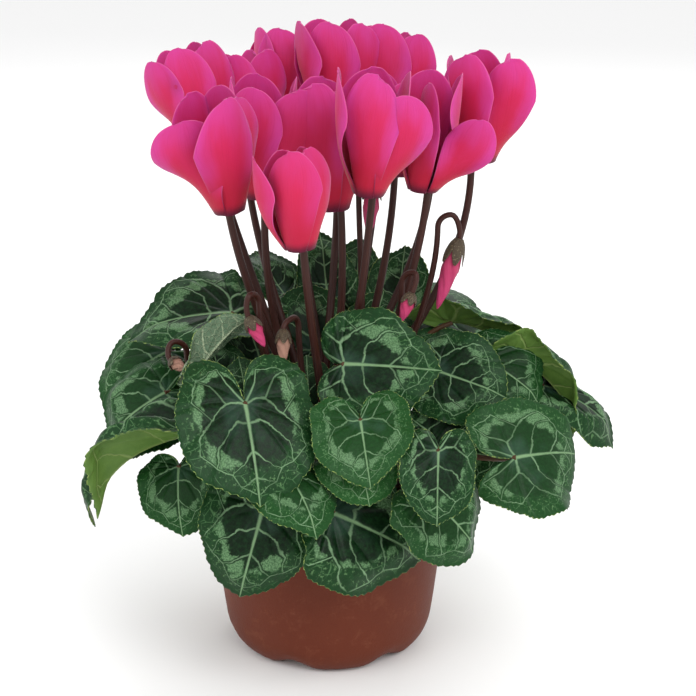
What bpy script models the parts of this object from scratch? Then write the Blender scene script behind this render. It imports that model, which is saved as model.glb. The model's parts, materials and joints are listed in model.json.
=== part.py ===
"""Potted cyclamen: a 12 cm nursery pot, soil, tuber, leaves, flowers and buds.

Metres, +Z up. The origin is the middle of the pot's flat underside.
The plant's places are written in millimetres and turned into metres by MM.
"""
import math

import bmesh
import bpy
from mathutils import Matrix, Vector

MM = 0.001
GAP = 0.0003                    # clearance between pieces that touch

# Pot: radii and heights of its wall
POT_SEGMENTS = 30
POT_HEIGHT = 92 * MM
RIM_RADIUS = 60.5 * MM
RIM_BAND = 12 * MM              # height of the thicker band below the rim
RIM_STEP = 1.6 * MM             # how far the band stands out from the wall
WALL = 1.5 * MM
FLOOR = 2.2 * MM
FOOT_RADIUS = 30 * MM           # the flat disc that the pot stands on
ARCHES = 6                      # raised arches between the feet
ARCH_FIRST = math.radians(-53)
ARCH_HALF = math.radians(17)
ARCH_LIFT = 4 * MM
SLOT_WIDTH = 3.6 * MM           # drain slot in each arch
SLOT_LENGTH = 8 * MM
SLOT_RADIUS = 34 * MM

# Soil and tuber
SOIL_LEVEL = 82 * MM
TUBER_RADIUS = 24 * MM
TUBER_HALF_HEIGHT = 13 * MM
TUBER_LEVEL = 78 * MM

# Leaves
BLADE_THICK = 1.0 * MM
LEAF_SPOKES = 11
LEAF_RINGS = (0.55, 1.0)
LEAF_SIDE = 0.60                # reach of the blade's sides, as a share of hub to tip
LOBE_START = math.radians(132)  # from the tip's direction round to the basal lobes
SINUS = math.radians(171)       # and round to the notch between them
LOBE_ROUND = 0.97
PETIOLE_RADIUS = 1.5 * MM
HUB_BOSS = 1.3 * MM             # the stalk's end stands this far through the hub
# how far a leaf's stalk rises before it bends out, as a share of its span
STEEPNESS = {"outer": 0.38, "middle": 0.64}

# Flowers
PETALS = 5
PETAL_THICK = 0.9 * MM
PETAL_WIDTH = 0.54              # widest part, as a share of the petal's length
PETAL_CLAW = 0.12               # width at the base, as a share of the widest
PETAL_WIDEST = 0.62             # where it is widest, as a share of its rise
PETAL_BLUNT = 0.86              # how much narrower its end is
PETAL_BASE = 0.05               # the base that is turned back, as a share of its length
PETAL_STATIONS = (0.0, PETAL_BASE, 0.38, 0.74, 1.0)
BASE_FLARE = 3.6 * MM           # how far the turned base reaches out
BASE_DROP = 1.2 * MM            # and how far it goes down
PETAL_TWIST = math.radians(22)  # pinwheel turn of each petal
PETAL_CUP = 0.35                # how much it curls round the flower's axis
THROAT_RADIUS = 4.4 * MM
TUBE_RADIUS = 3.5 * MM
TUBE_HEIGHT = 8 * MM
HOOK_REACH = 6.4 * MM           # from the flower's axis to the stem beside it
HOOK_RISE = 2.6 * MM            # the hook's bend starts this far above the tube
HOOK_SWINGS = [math.radians(angle) for angle in (50, 100, 150)]
CALYX_RADIUS = 3.4 * MM         # where the hook widens onto the flower's tube
STEM_RADII = (2.2 * MM, 1.7 * MM, 1.4 * MM)
TUBE_SIDES = 5
STALK_STEPS = 4                 # lengths in a stalk from the tuber to its end

# Buds
CROOK_REACH = 6.0 * MM          # size of the bend at the top of the stalk
BUD_STALK = 1.4 * MM
BUD_PROFILE = ((0.06, 0.5), (0.16, 0.8), (0.4, 1.0), (0.75, 0.62), (1.0, 0.15))

# The stalks stand on the tuber in rings: radius of each ring
ROOT_RINGS = {"outer": 18.2 * MM, "middle": 13.6 * MM, "inner": 8.8 * MM, "heart": 3.7 * MM}
# and the least distance between the stalks of one ring
ROOT_PITCH = {"outer": 4.4 * MM, "middle": 4.4 * MM, "inner": 5.4 * MM, "heart": 5.6 * MM}
SPACING_ROUNDS = 200

# Leaves: hub and tip in mm, roll and fold in degrees, then shape factors
# ring, hub, tip, roll, width, bow, cup, fold, lobe
LEAVES = (
    ("outer", (-36, -76, 149), (-29, -100, 111), 0, 1.08, 0.05, -0.10, 4, 1.0),
    ("outer", (7, -44, 156), (50, -46, 153), 55, 0.92, 0.06, 0.05, 6, 0.5),
    ("outer", (51, -20, 144), (82, -30, 135), 48, 1.05, 0.05, 0.05, 8, 0.8),
    ("outer", (84, -58, 116), (115, -34, 108), 52, 1.12, 0.10, -0.10, 0, 0.9),
    ("outer", (47, -92, 132), (47, -106, 103), 0, 0.85, 0.04, 0.10, 12, 0.6),
    ("outer", (45, -82, 107), (66, -77, 78), 60, 1.00, 0.08, -0.05, 0, 0.7),
    ("outer", (2, -82, 102), (42, -70, 76), 55, 0.90, 0.06, -0.08, 0, 0.35),
    ("outer", (-29, -80, 101), (-40, -84, 60), -65, 0.95, 0.08, -0.10, 0, 0.6),
    ("outer", (-14, -82, 117), (3, -101, 96), 10, 0.85, 0.12, -0.10, 0, 0.6),
    ("outer", (-67, -60, 113), (-65, -74, 86), 25, 1.00, 0.10, -0.05, 0, 0.45),
    ("outer", (-80, -52, 124), (-106, -60, 90), 40, 0.95, 0.12, -0.10, -30, 0.9),
    ("middle", (-50, 10, 168), (-93, 4, 158), -25, 1.00, 0.08, 0.10, -6, 0.5),
    ("outer", (-77, 10, 144), (-109, 2, 121), -30, 1.05, 0.10, -0.10, 0, 0.7),
    ("outer", (-76, -20, 134), (-106, -26, 111), -35, 1.05, 0.10, -0.10, 0, 0.7),
    ("middle", (-55, -46, 153), (-34, -41, 174), -70, 0.80, 0.05, 0.00, 28, 0.6),
    ("outer", (18, -76, 140), (17, -98, 121), 0, 0.98, 0.05, 0.15, 14, 0.7),
    ("outer", (11, -76, 126), (18, -94, 110), 10, 1.15, 0.06, 0.00, 0, 0.5),
    ("outer", (71, 26, 154), (102, 18, 132), 20, 1.05, 0.15, -0.15, -15, 0.8),
    ("outer", (110, 4, 122), (141, 0, 100), 15, 1.00, 0.10, -0.05, 0, 1.0),
    ("outer", (78, -8, 146), (106, -18, 124), 35, 1.00, 0.10, 0.05, 0, 0.8),
    ("middle", (-22, 46, 162), (-34, 58, 184), 10, 1.00, -0.05, 0.15, 10, 0.8),
    ("middle", (0, 52, 158), (-3, 66, 190), 0, 0.72, -0.05, 0.10, 15, 0.7),
    ("middle", (55, 58, 150), (86, 84, 136), 0, 1.05, 0.10, -0.05, 0, 0.8),
    ("middle", (34, 46, 153), (39, 60, 184), 0, 0.80, -0.05, 0.10, 12, 0.6),
    ("outer", (18, 84, 118), (26, 112, 84), 0, 1.10, 0.10, -0.10, 0, 1.0),
    ("middle", (-10, 72, 146), (-18, 108, 132), 0, 1.05, 0.10, -0.05, 0, 0.8),
    ("outer", (-50, 72, 118), (-68, 96, 86), 0, 1.10, 0.10, -0.10, 0, 1.0),
    ("outer", (-62, 47, 146), (-98, 68, 126), 0, 1.05, 0.10, -0.05, 0, 0.7),
)

# Flowers: mouth and top in mm, yaw of the first petal in degrees, how far the
# petals lean out, and how much each bulges, as shares of the petal's length
# ring, mouth, top, yaw, open, bulge
FLOWERS = (
    ("inner", (-40, -40, 224), (-47, -49, 276), -100, 0.26, 0.08),
    ("inner", (-32, -11, 223), (-29, -12, 277), -60, 0.10, 0.10),
    ("inner", (-56, 16, 239), (-69, 22, 285), -120, 0.20, 0.08),
    ("inner", (-38, 36, 237), (-41, 42, 286), -90, 0.145, 0.08),
    ("inner", (-9, -62, 213), (-11, -67, 257), -104, 0.02, 0.18),
    ("heart", (2, -6, 216), (-1, -5, 274), -100, 0.08, 0.10),
    ("inner", (18, -42, 231), (24, -51, 286), -75, 0.22, 0.08),
    ("inner", (43, -18, 227), (57, -22, 286), -60, 0.21, 0.08),
    ("inner", (71, 8, 234), (84, 10, 286), -70, 0.22, 0.08),
    ("inner", (-19, 58, 238), (-22, 69, 290), -95, 0.14, 0.08),
    ("heart", (3, 36, 244), (0, 40, 297), -90, 0.14, 0.08),
    ("heart", (28, 44, 242), (36, 49, 295), -95, 0.135, 0.08),
)

# Buds: crook, neck and tip in mm, and the bud's greatest radius
# ring, crook, neck, tip, radius
BUDS = (
    ("middle", (57, -4, 208), (60, -4, 196), (51, -9, 168), 4.2),
    ("middle", (38, -24, 187), (36, -28, 178), (33, -32, 169), 3.2),
    ("middle", (-34, -48, 190), (-35, -50, 180), (-28, -52, 167), 3.4),
    ("middle", (-16, -38, 176), (-20, -44, 172), (-20, -50, 158), 3.2),
    ("middle", (-70, -32, 163), (-71, -38, 156), (-64, -43, 153), 3.0),
)


def material(name, colour, roughness):
    """A Principled material of one colour."""
    made = bpy.data.materials.new(name)
    made.use_nodes = True
    shader = made.node_tree.nodes["Principled BSDF"]
    shader.inputs["Base Color"].default_value = (*colour, 1)
    shader.inputs["Roughness"].default_value = roughness
    shader.inputs["Metallic"].default_value = 0
    return made


def mesh_object(name, vertices, faces, finish):
    """An object from vertices and faces, with its faces turned outward."""
    mesh = bpy.data.meshes.new(name)
    mesh.from_pydata([tuple(v) for v in vertices], [], faces)
    shell = bmesh.new()
    shell.from_mesh(mesh)
    bmesh.ops.recalc_face_normals(shell, faces=shell.faces)
    bmesh.ops.triangulate(shell, faces=shell.faces)
    shell.to_mesh(mesh)
    shell.free()
    mesh.shade_smooth()
    mesh.set_sharp_from_angle(angle=math.radians(50))
    made = bpy.data.objects.new(name, mesh)
    made.data.materials.append(finish)
    bpy.context.scene.collection.objects.link(made)
    return made


def boolean(body, tool, operation):
    """Apply one exact Boolean to the body and remove the tool."""
    modifier = body.modifiers.new("cut", "BOOLEAN")
    modifier.operation = operation
    modifier.solver = "EXACT"
    modifier.object = tool
    graph = bpy.context.evaluated_depsgraph_get()
    result = bpy.data.meshes.new_from_object(body.evaluated_get(graph))
    body.modifiers.clear()
    body.data = result
    bpy.data.objects.remove(tool)


def ring_faces(rings, count, closed=True):
    """Quads between neighbouring rings of count points each."""
    faces = []
    for ring in range(rings - 1):
        for k in range(count if closed else count - 1):
            a = ring * count + k
            b = ring * count + (k + 1) % count
            faces.append((a, b, b + count, a + count))
    return faces


def lathe(name, profile_at, segments, finish):
    """A solid of revolution; profile_at(angle) runs from pole to pole."""
    turns = [2 * math.pi * k / segments for k in range(segments)]
    profiles = [profile_at(turn) for turn in turns]
    count = len(profiles[0])
    vertices = [(0, 0, profiles[0][0][1])]
    for i in range(1, count - 1):
        for turn, profile in zip(turns, profiles):
            radius, height = profile[i]
            vertices.append((radius * math.cos(turn), radius * math.sin(turn), height))
    vertices.append((0, 0, profiles[0][-1][1]))
    inner = ring_faces(count - 2, segments)
    faces = [tuple(index + 1 for index in face) for face in inner]
    last = len(vertices) - 1
    for k in range(segments):
        following = (k + 1) % segments
        faces.append((0, 1 + k, 1 + following))
        faces.append((last, last - segments + k, last - segments + following))
    return mesh_object(name, vertices, faces, finish)


def arch_lift(turn):
    """How far the pot's underside is raised at this angle."""
    lift = 0.0
    for k in range(ARCHES):
        middle = ARCH_FIRST + 2 * math.pi * k / ARCHES
        away = abs((turn - middle + math.pi) % (2 * math.pi) - math.pi)
        if away < ARCH_HALF:
            lift = ARCH_LIFT * math.cos(0.5 * math.pi * away / ARCH_HALF) ** 2
    return lift


def pot_outside(turn):
    """Outer profile of the pot from its pole to the rim's edge."""
    lift = arch_lift(turn)
    band = POT_HEIGHT - RIM_BAND
    return [
        (0, 0),
        (FOOT_RADIUS, 0),
        (41 * MM, lift),
        (43.5 * MM, 1.2 * MM + lift * 0.9),
        (46.8 * MM, 4.2 * MM + lift * 0.6),
        (49.2 * MM, 8.5 * MM + lift * 0.3),
        (50.8 * MM, 14 * MM),
        (53.6 * MM, 36 * MM),
        (RIM_RADIUS - RIM_STEP - 0.6 * MM, band),
        (RIM_RADIUS - 0.6 * MM, band + 0.8 * MM),
        (RIM_RADIUS, POT_HEIGHT - 1.2 * MM),
        (RIM_RADIUS - 0.6 * MM, POT_HEIGHT),
    ]


def pot_inside(turn):
    """Inner profile of the pot from the rim down to its floor."""
    lift = arch_lift(turn)
    return [
        (RIM_RADIUS - 1.7 * MM, POT_HEIGHT),
        (RIM_RADIUS - 2.3 * MM, POT_HEIGHT - 2 * MM),
        (RIM_RADIUS - RIM_STEP - 0.6 * MM - WALL, POT_HEIGHT - RIM_BAND - 1 * MM),
        (53.6 * MM - WALL, 36 * MM),
        (50.8 * MM - WALL, 14.5 * MM),
        (47.8 * MM - WALL, 9.5 * MM + lift * 0.4),
        (43.5 * MM - WALL, 4.2 * MM + lift * 0.8),
        (39.5 * MM, FLOOR + lift),
        (FOOT_RADIUS - 1 * MM, FLOOR),
        (0, FLOOR),
    ]


def make_pot(finish):
    """The thin-walled pot with its drain slots."""
    pot = lathe("pot", lambda turn: pot_outside(turn) + pot_inside(turn), POT_SEGMENTS, finish)
    for k in range(ARCHES):
        turn = ARCH_FIRST + 2 * math.pi * k / ARCHES
        bpy.ops.mesh.primitive_cube_add(size=1)
        slot = bpy.context.active_object
        slot.data.transform(Matrix.Diagonal((SLOT_LENGTH, SLOT_WIDTH, POT_HEIGHT / 3, 1)))
        place = Vector((SLOT_RADIUS * math.cos(turn), SLOT_RADIUS * math.sin(turn), 0))
        slot.data.transform(Matrix.Translation(place) @ Matrix.Rotation(turn, 4, "Z"))
        boolean(pot, slot, "DIFFERENCE")
    pot.data.materials.clear()
    pot.data.materials.append(finish)


def tuber_height(radius, grow=0.0):
    """Half height of the tuber at this distance from its axis."""
    share = min(1.0, radius / (TUBER_RADIUS + grow))
    return (TUBER_HALF_HEIGHT + grow) * math.sqrt(1 - share * share)


def make_soil(finish):
    """The soil: it fills the pot and holds the tuber in a socket."""
    dome = 1.5 * MM

    def profile(turn):
        floor = pot_inside(ARCH_FIRST)[2:]
        wall = [(max(0.0, radius - GAP), height + GAP) for radius, height in floor]
        wall.reverse()
        top = 56 * MM - WALL - GAP
        socket = TUBER_RADIUS * math.sqrt(1 - ((SOIL_LEVEL + dome - TUBER_LEVEL) / TUBER_HALF_HEIGHT) ** 2)
        points = wall + [(top, SOIL_LEVEL), (socket + 3 * GAP, SOIL_LEVEL + dome)]
        for share in (1.0, 0.86, 0.6, 0.3):
            radius = (TUBER_RADIUS + 2 * GAP) * share
            points.append((radius, TUBER_LEVEL - tuber_height(radius, 2 * GAP)))
        points.append((0, TUBER_LEVEL - TUBER_HALF_HEIGHT - 2 * GAP))
        return points

    lathe("soil", profile, POT_SEGMENTS, finish)


def make_tuber(finish):
    """The flattened tuber, half out of the soil."""
    shares = (0.3, 0.6, 0.86, 1.0)
    lower = [(TUBER_RADIUS * s, TUBER_LEVEL - tuber_height(TUBER_RADIUS * s)) for s in shares]
    upper = [(TUBER_RADIUS * s, TUBER_LEVEL + tuber_height(TUBER_RADIUS * s)) for s in shares[2::-1]]
    profile = [(0, TUBER_LEVEL - TUBER_HALF_HEIGHT)] + lower + upper
    profile.append((0, TUBER_LEVEL + TUBER_HALF_HEIGHT))
    lathe("tuber", lambda turn: profile, POT_SEGMENTS, finish)


def root_on_tuber(ring, turn):
    """Where a stalk stands on the tuber, and the tuber's slope there."""
    radius = ROOT_RINGS[ring]
    height = tuber_height(radius)
    normal = Vector((
        radius / TUBER_RADIUS ** 2 * math.cos(turn),
        radius / TUBER_RADIUS ** 2 * math.sin(turn),
        height / TUBER_HALF_HEIGHT ** 2,
    )).normalized()
    foot = Vector((radius * math.cos(turn), radius * math.sin(turn), TUBER_LEVEL + height))
    return foot + normal * 2 * GAP, normal


def spaced_roots(entries, target):
    """Places round each ring, each as near its stalk's direction as its neighbours allow."""
    turns = {}
    for ring, radius in ROOT_RINGS.items():
        members = [k for k, entry in enumerate(entries) if entry[0] == ring]
        for k in members:
            turns[k] = math.atan2(entries[k][target][1], entries[k][target][0])
        members.sort(key=turns.get)
        pitch = 2 * math.asin(min(0.9, ROOT_PITCH[ring] / radius / 2))
        for _ in range(SPACING_ROUNDS):
            for here, k in enumerate(members):
                other = members[(here + 1) % len(members)]
                between = (turns[other] - turns[k] + math.pi) % (2 * math.pi) - math.pi
                close = pitch - between
                if close > 0:
                    turns[k] -= close / 2
                    turns[other] += close / 2
    return turns


def curve(a, b, c, d, steps):
    """Points along a cubic curve from a to d, with the handles b and c."""
    points = []
    for k in range(steps + 1):
        share = k / steps
        rest = 1 - share
        near = a * rest ** 3 + b * 3 * rest ** 2 * share
        points.append(near + c * 3 * rest * share ** 2 + d * share ** 3)
    return points


def tube_shell(points, radii, sides):
    """Vertices and faces of a closed tube along the points."""
    vertices = []
    side = None
    for i, point in enumerate(points):
        before = points[max(0, i - 1)]
        after = points[min(len(points) - 1, i + 1)]
        along = (after - before).normalized()
        if side is None:
            side = along.orthogonal().normalized()
        side = (side - along * side.dot(along)).normalized()
        other = along.cross(side)
        for k in range(sides):
            turn = 2 * math.pi * k / sides
            vertices.append(point + (side * math.cos(turn) + other * math.sin(turn)) * radii[i])
    faces = ring_faces(len(points), sides)
    faces.append(tuple(range(sides - 1, -1, -1)))
    last = len(vertices) - sides
    faces.append(tuple(range(last, last + sides)))
    return vertices, faces


def sheet_normals(grid):
    """The direction square to the sheet at each point of its grid."""
    rows = len(grid)
    count = len(grid[0])
    normals = []
    for i in range(rows):
        for j in range(count):
            across = grid[i][min(count - 1, j + 1)] - grid[i][max(0, j - 1)]
            along = grid[min(rows - 1, i + 1)][j] - grid[max(0, i - 1)][j]
            normals.append(along.cross(across).normalized())
    return normals


def sheet_shell(grid, thick, hub=None, facing=None):
    """A thin closed solid round a grid of points; with a hub, a fan joins its first row to it."""
    rows = len(grid)
    count = len(grid[0])
    middle = [point for row in grid for point in row]
    normals = sheet_normals(grid)
    if hub is not None:
        middle.append(hub)
        normals.append(facing)
    size = len(middle)
    vertices = [point + normal * thick / 2 for point, normal in zip(middle, normals)]
    vertices += [point - normal * thick / 2 for point, normal in zip(middle, normals)]
    faces = ring_faces(rows, count, closed=False)
    if hub is not None:
        faces += [(size - 1, j + 1, j) for j in range(count - 1)]
    faces += [tuple(index + size for index in reversed(face)) for face in faces]
    border = [row * count for row in range(rows)]
    border += [(rows - 1) * count + j for j in range(1, count)]
    border += [row * count + count - 1 for row in range(rows - 2, -1, -1)]
    border += range(count - 2, 0, -1) if hub is None else [size - 1]
    for a, b in zip(border, border[1:] + border[:1]):
        faces.append((a, b, b + size, a + size))
    return vertices, faces


def leaf_outline(turn):
    """Distance from the hub to the margin, as a share of hub to tip."""
    body = LEAF_SIDE + (1 - LEAF_SIDE) * math.exp(-turn * turn)
    past = max(0.0, abs(turn) - LOBE_START) / (SINUS - LOBE_START)
    return body * math.sqrt(1 - (LOBE_ROUND * past) ** 2)


class Leaf:
    """The shape of one leaf: its frame, its blade and its stalk."""

    def __init__(self, hub, tip, roll, width, bow, cup, fold, lobe):
        self.hub = Vector(hub) * MM
        to_tip = Vector(tip) * MM - self.hub
        self.length = to_tip.length
        self.along = to_tip.normalized()
        up = Vector((0, 0, 1))
        facing = (up - self.along * up.dot(self.along)).normalized()
        self.normal = Matrix.Rotation(math.radians(roll), 3, self.along) @ facing
        self.across = self.normal.cross(self.along)
        self.width = width
        self.bow = bow
        self.cup = cup
        self.fold = math.radians(fold)
        self.lobe = lobe

    def point(self, share, turn):
        """A point of the blade; share runs from the hub to the margin."""
        reach = leaf_outline(turn) * share
        u = reach * math.cos(turn)
        v = reach * math.sin(turn) * self.width
        if u < 0:
            u *= self.lobe
        rise = 4 * self.bow * u * (1 - max(0.0, u))
        rise += self.cup * (v * v + min(0.0, u) ** 2)
        rise += abs(v) * math.sin(self.fold)
        v *= math.cos(self.fold)
        return self.hub + (self.along * u + self.across * v + self.normal * rise) * self.length

    def petiole(self, foot, slope, steepness):
        """The stalk's curve from the tuber to just through the hub."""
        outward = Vector((self.hub.x, self.hub.y, 0)).normalized()
        arrive = self.normal * 0.5 + self.along * 0.35
        arrive += outward * 0.45 * max(0.0, outward.dot(self.normal))
        arrive.normalize()
        end = self.hub + arrive * HUB_BOSS
        span = (end - foot).length
        return curve(foot, foot + slope * span * steepness, end - arrive * span / 3, end, STALK_STEPS)


def make_leaf(name, shape, foot, slope, steepness, finish):
    """One leaf: blade and stalk joined in one solid."""
    turns = [SINUS * (2 * k / (LEAF_SPOKES - 1) - 1) for k in range(LEAF_SPOKES)]
    grid = [[shape.point(share, turn) for turn in turns] for share in LEAF_RINGS]
    vertices, faces = sheet_shell(grid, BLADE_THICK, shape.hub, shape.normal)
    blade = mesh_object(name, vertices, faces, finish)
    points = shape.petiole(foot, slope, steepness)
    radii = [PETIOLE_RADIUS * (1.1 - 0.04 * k) for k in range(len(points))]
    vertices, faces = tube_shell(points, radii, TUBE_SIDES)
    stalk = mesh_object(name + "_stalk", vertices, faces, finish)
    boolean(blade, stalk, "UNION")


def petal_spread(rise):
    """Half width of a petal along its rise, as a share of the widest."""
    widening = PETAL_CLAW + (1 - PETAL_CLAW) * min(1.0, rise / PETAL_WIDEST) ** 0.8
    past = max(0.0, (rise - PETAL_WIDEST) / (1 - PETAL_WIDEST))
    return widening * math.sqrt(1 - PETAL_BLUNT * past ** 2.6)


class Flower:
    """The shape of one open flower: its frame, petals and stem."""

    def __init__(self, mouth, top, yaw, openness, bulge):
        self.mouth = Vector(mouth) * MM
        axis = Vector(top) * MM - self.mouth
        self.length = axis.length
        self.axis = axis.normalized()
        side = Vector((1, 0, 0))
        self.side = (side - self.axis * side.dot(self.axis)).normalized()
        self.other = self.axis.cross(self.side)
        self.yaw = math.radians(yaw)
        self.openness = openness
        self.bulge = bulge

    def place(self, radius, turn, height):
        """A point from its distance to the axis, its angle and its height."""
        outward = self.side * math.cos(turn) + self.other * math.sin(turn)
        return self.mouth + outward * radius + self.axis * height

    def petal_point(self, number, share, across):
        """A point of a petal; share runs up it, and across from -1 to 1 over its width."""
        turned = min(1.0, share / PETAL_BASE)
        rise = max(0.0, (share - PETAL_BASE) / (1 - PETAL_BASE))
        lean = self.openness * rise ** 1.2 + self.bulge * math.sin(math.pi * rise ** 0.8)
        radius = THROAT_RADIUS - 1.0 * MM + BASE_FLARE * turned + self.length * lean
        height = BASE_DROP * (0.5 - turned) + self.length * rise
        half = across * 0.5 * PETAL_WIDTH * self.length * petal_spread(rise)
        grown = min(1.0, rise * 2)
        twist = PETAL_TWIST * grown
        inward = half * math.sin(twist) + PETAL_CUP * grown * half ** 2 / max(radius, abs(half))
        bend = math.atan(half * math.cos(twist) / max(radius, TUBE_RADIUS + BASE_FLARE))
        turn = self.yaw + 2 * math.pi * number / PETALS + bend
        return self.place(radius - inward, turn, height)

    def stem(self, foot, slope):
        """The stem's curve with its hook, and the radius along it."""
        gap_turn = self.yaw + math.pi / PETALS
        step = 2 * math.pi / PETALS
        back = max(range(PETALS), key=lambda k: math.sin(gap_turn + step * k))
        turn = gap_turn + step * back
        low = self.place(HOOK_REACH + GAP, turn, -2 * MM)
        span = (low - foot).length
        points = curve(foot, foot + slope * span * 0.3, low - self.axis * span * 0.4, low, STALK_STEPS)
        taper = (STEM_RADII[1] - STEM_RADII[0]) / STALK_STEPS
        radii = [STEM_RADII[0] + taper * k for k in range(STALK_STEPS + 1)]
        bend = TUBE_HEIGHT + HOOK_RISE
        points.append(self.place(HOOK_REACH, turn, bend - 1 * MM))
        half = HOOK_REACH / 2
        for swing in HOOK_SWINGS:
            points.append(self.place(half + half * math.cos(swing), turn, bend + half * math.sin(swing)))
        radii += [STEM_RADII[2]] * (1 + len(HOOK_SWINGS))
        points.append(self.place(0, turn, TUBE_HEIGHT + 3 * GAP))
        radii.append(CALYX_RADIUS)
        return points, radii


def make_corolla(name, shape, finish):
    """The tube and its five petals, grown together."""
    sides = TUBE_SIDES + 3
    profile = (
        (CALYX_RADIUS, TUBE_HEIGHT - 0.8 * MM),
        (TUBE_RADIUS, 3 * MM),
        (THROAT_RADIUS, 0.6 * MM),
        (THROAT_RADIUS - 0.8 * MM, -0.8 * MM),
    )
    vertices = [shape.place(0, 0, TUBE_HEIGHT)]
    for radius, height in profile:
        for k in range(sides):
            vertices.append(shape.place(radius, 2 * math.pi * k / sides, height))
    vertices.append(shape.place(0, 0, 0.4 * MM))
    faces = [tuple(index + 1 for index in face) for face in ring_faces(len(profile), sides)]
    last = len(vertices) - 1
    for k in range(sides):
        following = (k + 1) % sides
        faces.append((0, 1 + k, 1 + following))
        faces.append((last, last - sides + k, last - sides + following))
    corolla = mesh_object(name, vertices, faces, finish)
    for number in range(PETALS):
        grid = [[shape.petal_point(number, share, across) for across in (-1, 0, 1)]
                for share in PETAL_STATIONS]
        vertices, faces = sheet_shell(grid, PETAL_THICK)
        boolean(corolla, mesh_object(name + "_petal", vertices, faces, finish), "UNION")


def bud_path(crook, neck, tip, foot, slope):
    """The bud's stalk: up from the tuber, over its crook and down to the neck."""
    up = Vector((0, 0, 1))
    over = Vector((crook.x - foot.x, crook.y - foot.y, 0)).normalized()
    hang = (tip - neck).normalized()
    shoulder = crook - over * CROOK_REACH - up * CROOK_REACH
    span = (shoulder - foot).length
    points = curve(foot, foot + slope * span * 0.35, shoulder - up * span * 0.3, shoulder, STALK_STEPS)
    turn_in = CROOK_REACH * 0.55
    points += curve(shoulder, shoulder + up * turn_in, crook - over * turn_in, crook, 2)[1:]
    points += curve(crook, crook + over * turn_in, neck - hang * turn_in, neck, 2)[1:]
    return points


def make_bud(name, entry, foot, slope, finish):
    """One bud: hooked stalk, calyx and the furled petals in one solid."""
    crook, neck, tip = [Vector(place) * MM for place in entry[1:4]]
    points = bud_path(crook, neck, tip, foot, slope)
    radii = [BUD_STALK] * len(points)
    for share, swell in BUD_PROFILE:
        points.append(neck.lerp(tip, share))
        radii.append(entry[4] * MM * swell)
    vertices, faces = tube_shell(points, radii, TUBE_SIDES + 1)
    mesh_object(name, vertices, faces, finish)


def main():
    """Build every piece of the potted plant."""
    for old in list(bpy.data.objects):
        bpy.data.objects.remove(old)
    terracotta = material("pot_plastic", (0.27, 0.085, 0.045), 0.55)
    peat = material("soil", (0.035, 0.022, 0.015), 0.95)
    cork = material("tuber_skin", (0.09, 0.05, 0.03), 0.85)
    green = material("leaf", (0.03, 0.12, 0.05), 0.45)
    maroon = material("stem", (0.09, 0.025, 0.02), 0.45)
    pink = material("petal", (0.72, 0.04, 0.2), 0.5)
    make_pot(terracotta)
    make_soil(peat)
    make_tuber(cork)
    crown = [(entry[0], entry[1]) for entry in LEAVES + FLOWERS + BUDS]
    turns = spaced_roots(crown, 1)
    for index, entry in enumerate(LEAVES):
        foot, slope = root_on_tuber(entry[0], turns[index])
        shape = Leaf(*entry[1:])
        make_leaf(f"leaf_{index + 1:02d}", shape, foot, slope, STEEPNESS[entry[0]], green)
    for index, entry in enumerate(FLOWERS):
        foot, slope = root_on_tuber(entry[0], turns[len(LEAVES) + index])
        shape = Flower(*entry[1:])
        points, radii = shape.stem(foot, slope)
        vertices, faces = tube_shell(points, radii, TUBE_SIDES)
        mesh_object(f"flower_stem_{index + 1:02d}", vertices, faces, maroon)
        make_corolla(f"corolla_{index + 1:02d}", shape, pink)
    for index, entry in enumerate(BUDS):
        foot, slope = root_on_tuber(entry[0], turns[len(LEAVES) + len(FLOWERS) + index])
        make_bud(f"bud_{index + 1:02d}", entry, foot, slope, pink)


main()
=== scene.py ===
"""The looks of the potted cyclamen: fine leaves, flowers, buds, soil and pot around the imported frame.

The plant's places repeat the CAD model's named values, in millimetres, and MM turns them into metres.
"""
import json
import math

import bpy
import numpy as np
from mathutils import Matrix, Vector

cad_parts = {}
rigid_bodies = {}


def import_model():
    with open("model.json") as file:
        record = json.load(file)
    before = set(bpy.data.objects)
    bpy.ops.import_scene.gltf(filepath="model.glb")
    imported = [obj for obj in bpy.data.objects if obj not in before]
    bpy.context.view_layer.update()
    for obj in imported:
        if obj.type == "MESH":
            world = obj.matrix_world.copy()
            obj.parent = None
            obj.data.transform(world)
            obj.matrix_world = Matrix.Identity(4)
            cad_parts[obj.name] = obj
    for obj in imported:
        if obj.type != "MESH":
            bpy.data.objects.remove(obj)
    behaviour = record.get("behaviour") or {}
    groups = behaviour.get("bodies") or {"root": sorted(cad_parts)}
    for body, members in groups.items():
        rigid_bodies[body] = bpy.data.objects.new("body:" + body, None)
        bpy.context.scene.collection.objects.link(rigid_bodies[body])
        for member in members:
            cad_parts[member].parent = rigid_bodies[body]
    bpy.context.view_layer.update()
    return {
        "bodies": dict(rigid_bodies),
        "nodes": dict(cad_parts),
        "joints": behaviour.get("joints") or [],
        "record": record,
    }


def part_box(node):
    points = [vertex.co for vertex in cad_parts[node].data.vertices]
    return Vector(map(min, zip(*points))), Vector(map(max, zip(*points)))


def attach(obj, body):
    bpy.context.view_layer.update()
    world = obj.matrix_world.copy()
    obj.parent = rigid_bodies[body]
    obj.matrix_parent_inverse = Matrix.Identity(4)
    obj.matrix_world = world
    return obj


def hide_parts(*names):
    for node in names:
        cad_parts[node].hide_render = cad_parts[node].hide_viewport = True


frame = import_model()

MM = 0.001
GAP = 0.3 * MM
UP = np.array((0.0, 0.0, 1.0))
ASIDE = np.array((1.0, 0.0, 0.0))
# An axis to place points round: its start, its direction and the direction of angle 0
UPRIGHT = (np.zeros(3), UP, ASIDE)
# Material slots; a sheet's front, back and rim have the slots 0, 1 and 2
LEAF_STALK = 3
STEM = 0
CALYX = 1
FURLED = 2
TUBE = 0
PISTIL = 2
ANTHERS = 3

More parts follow.
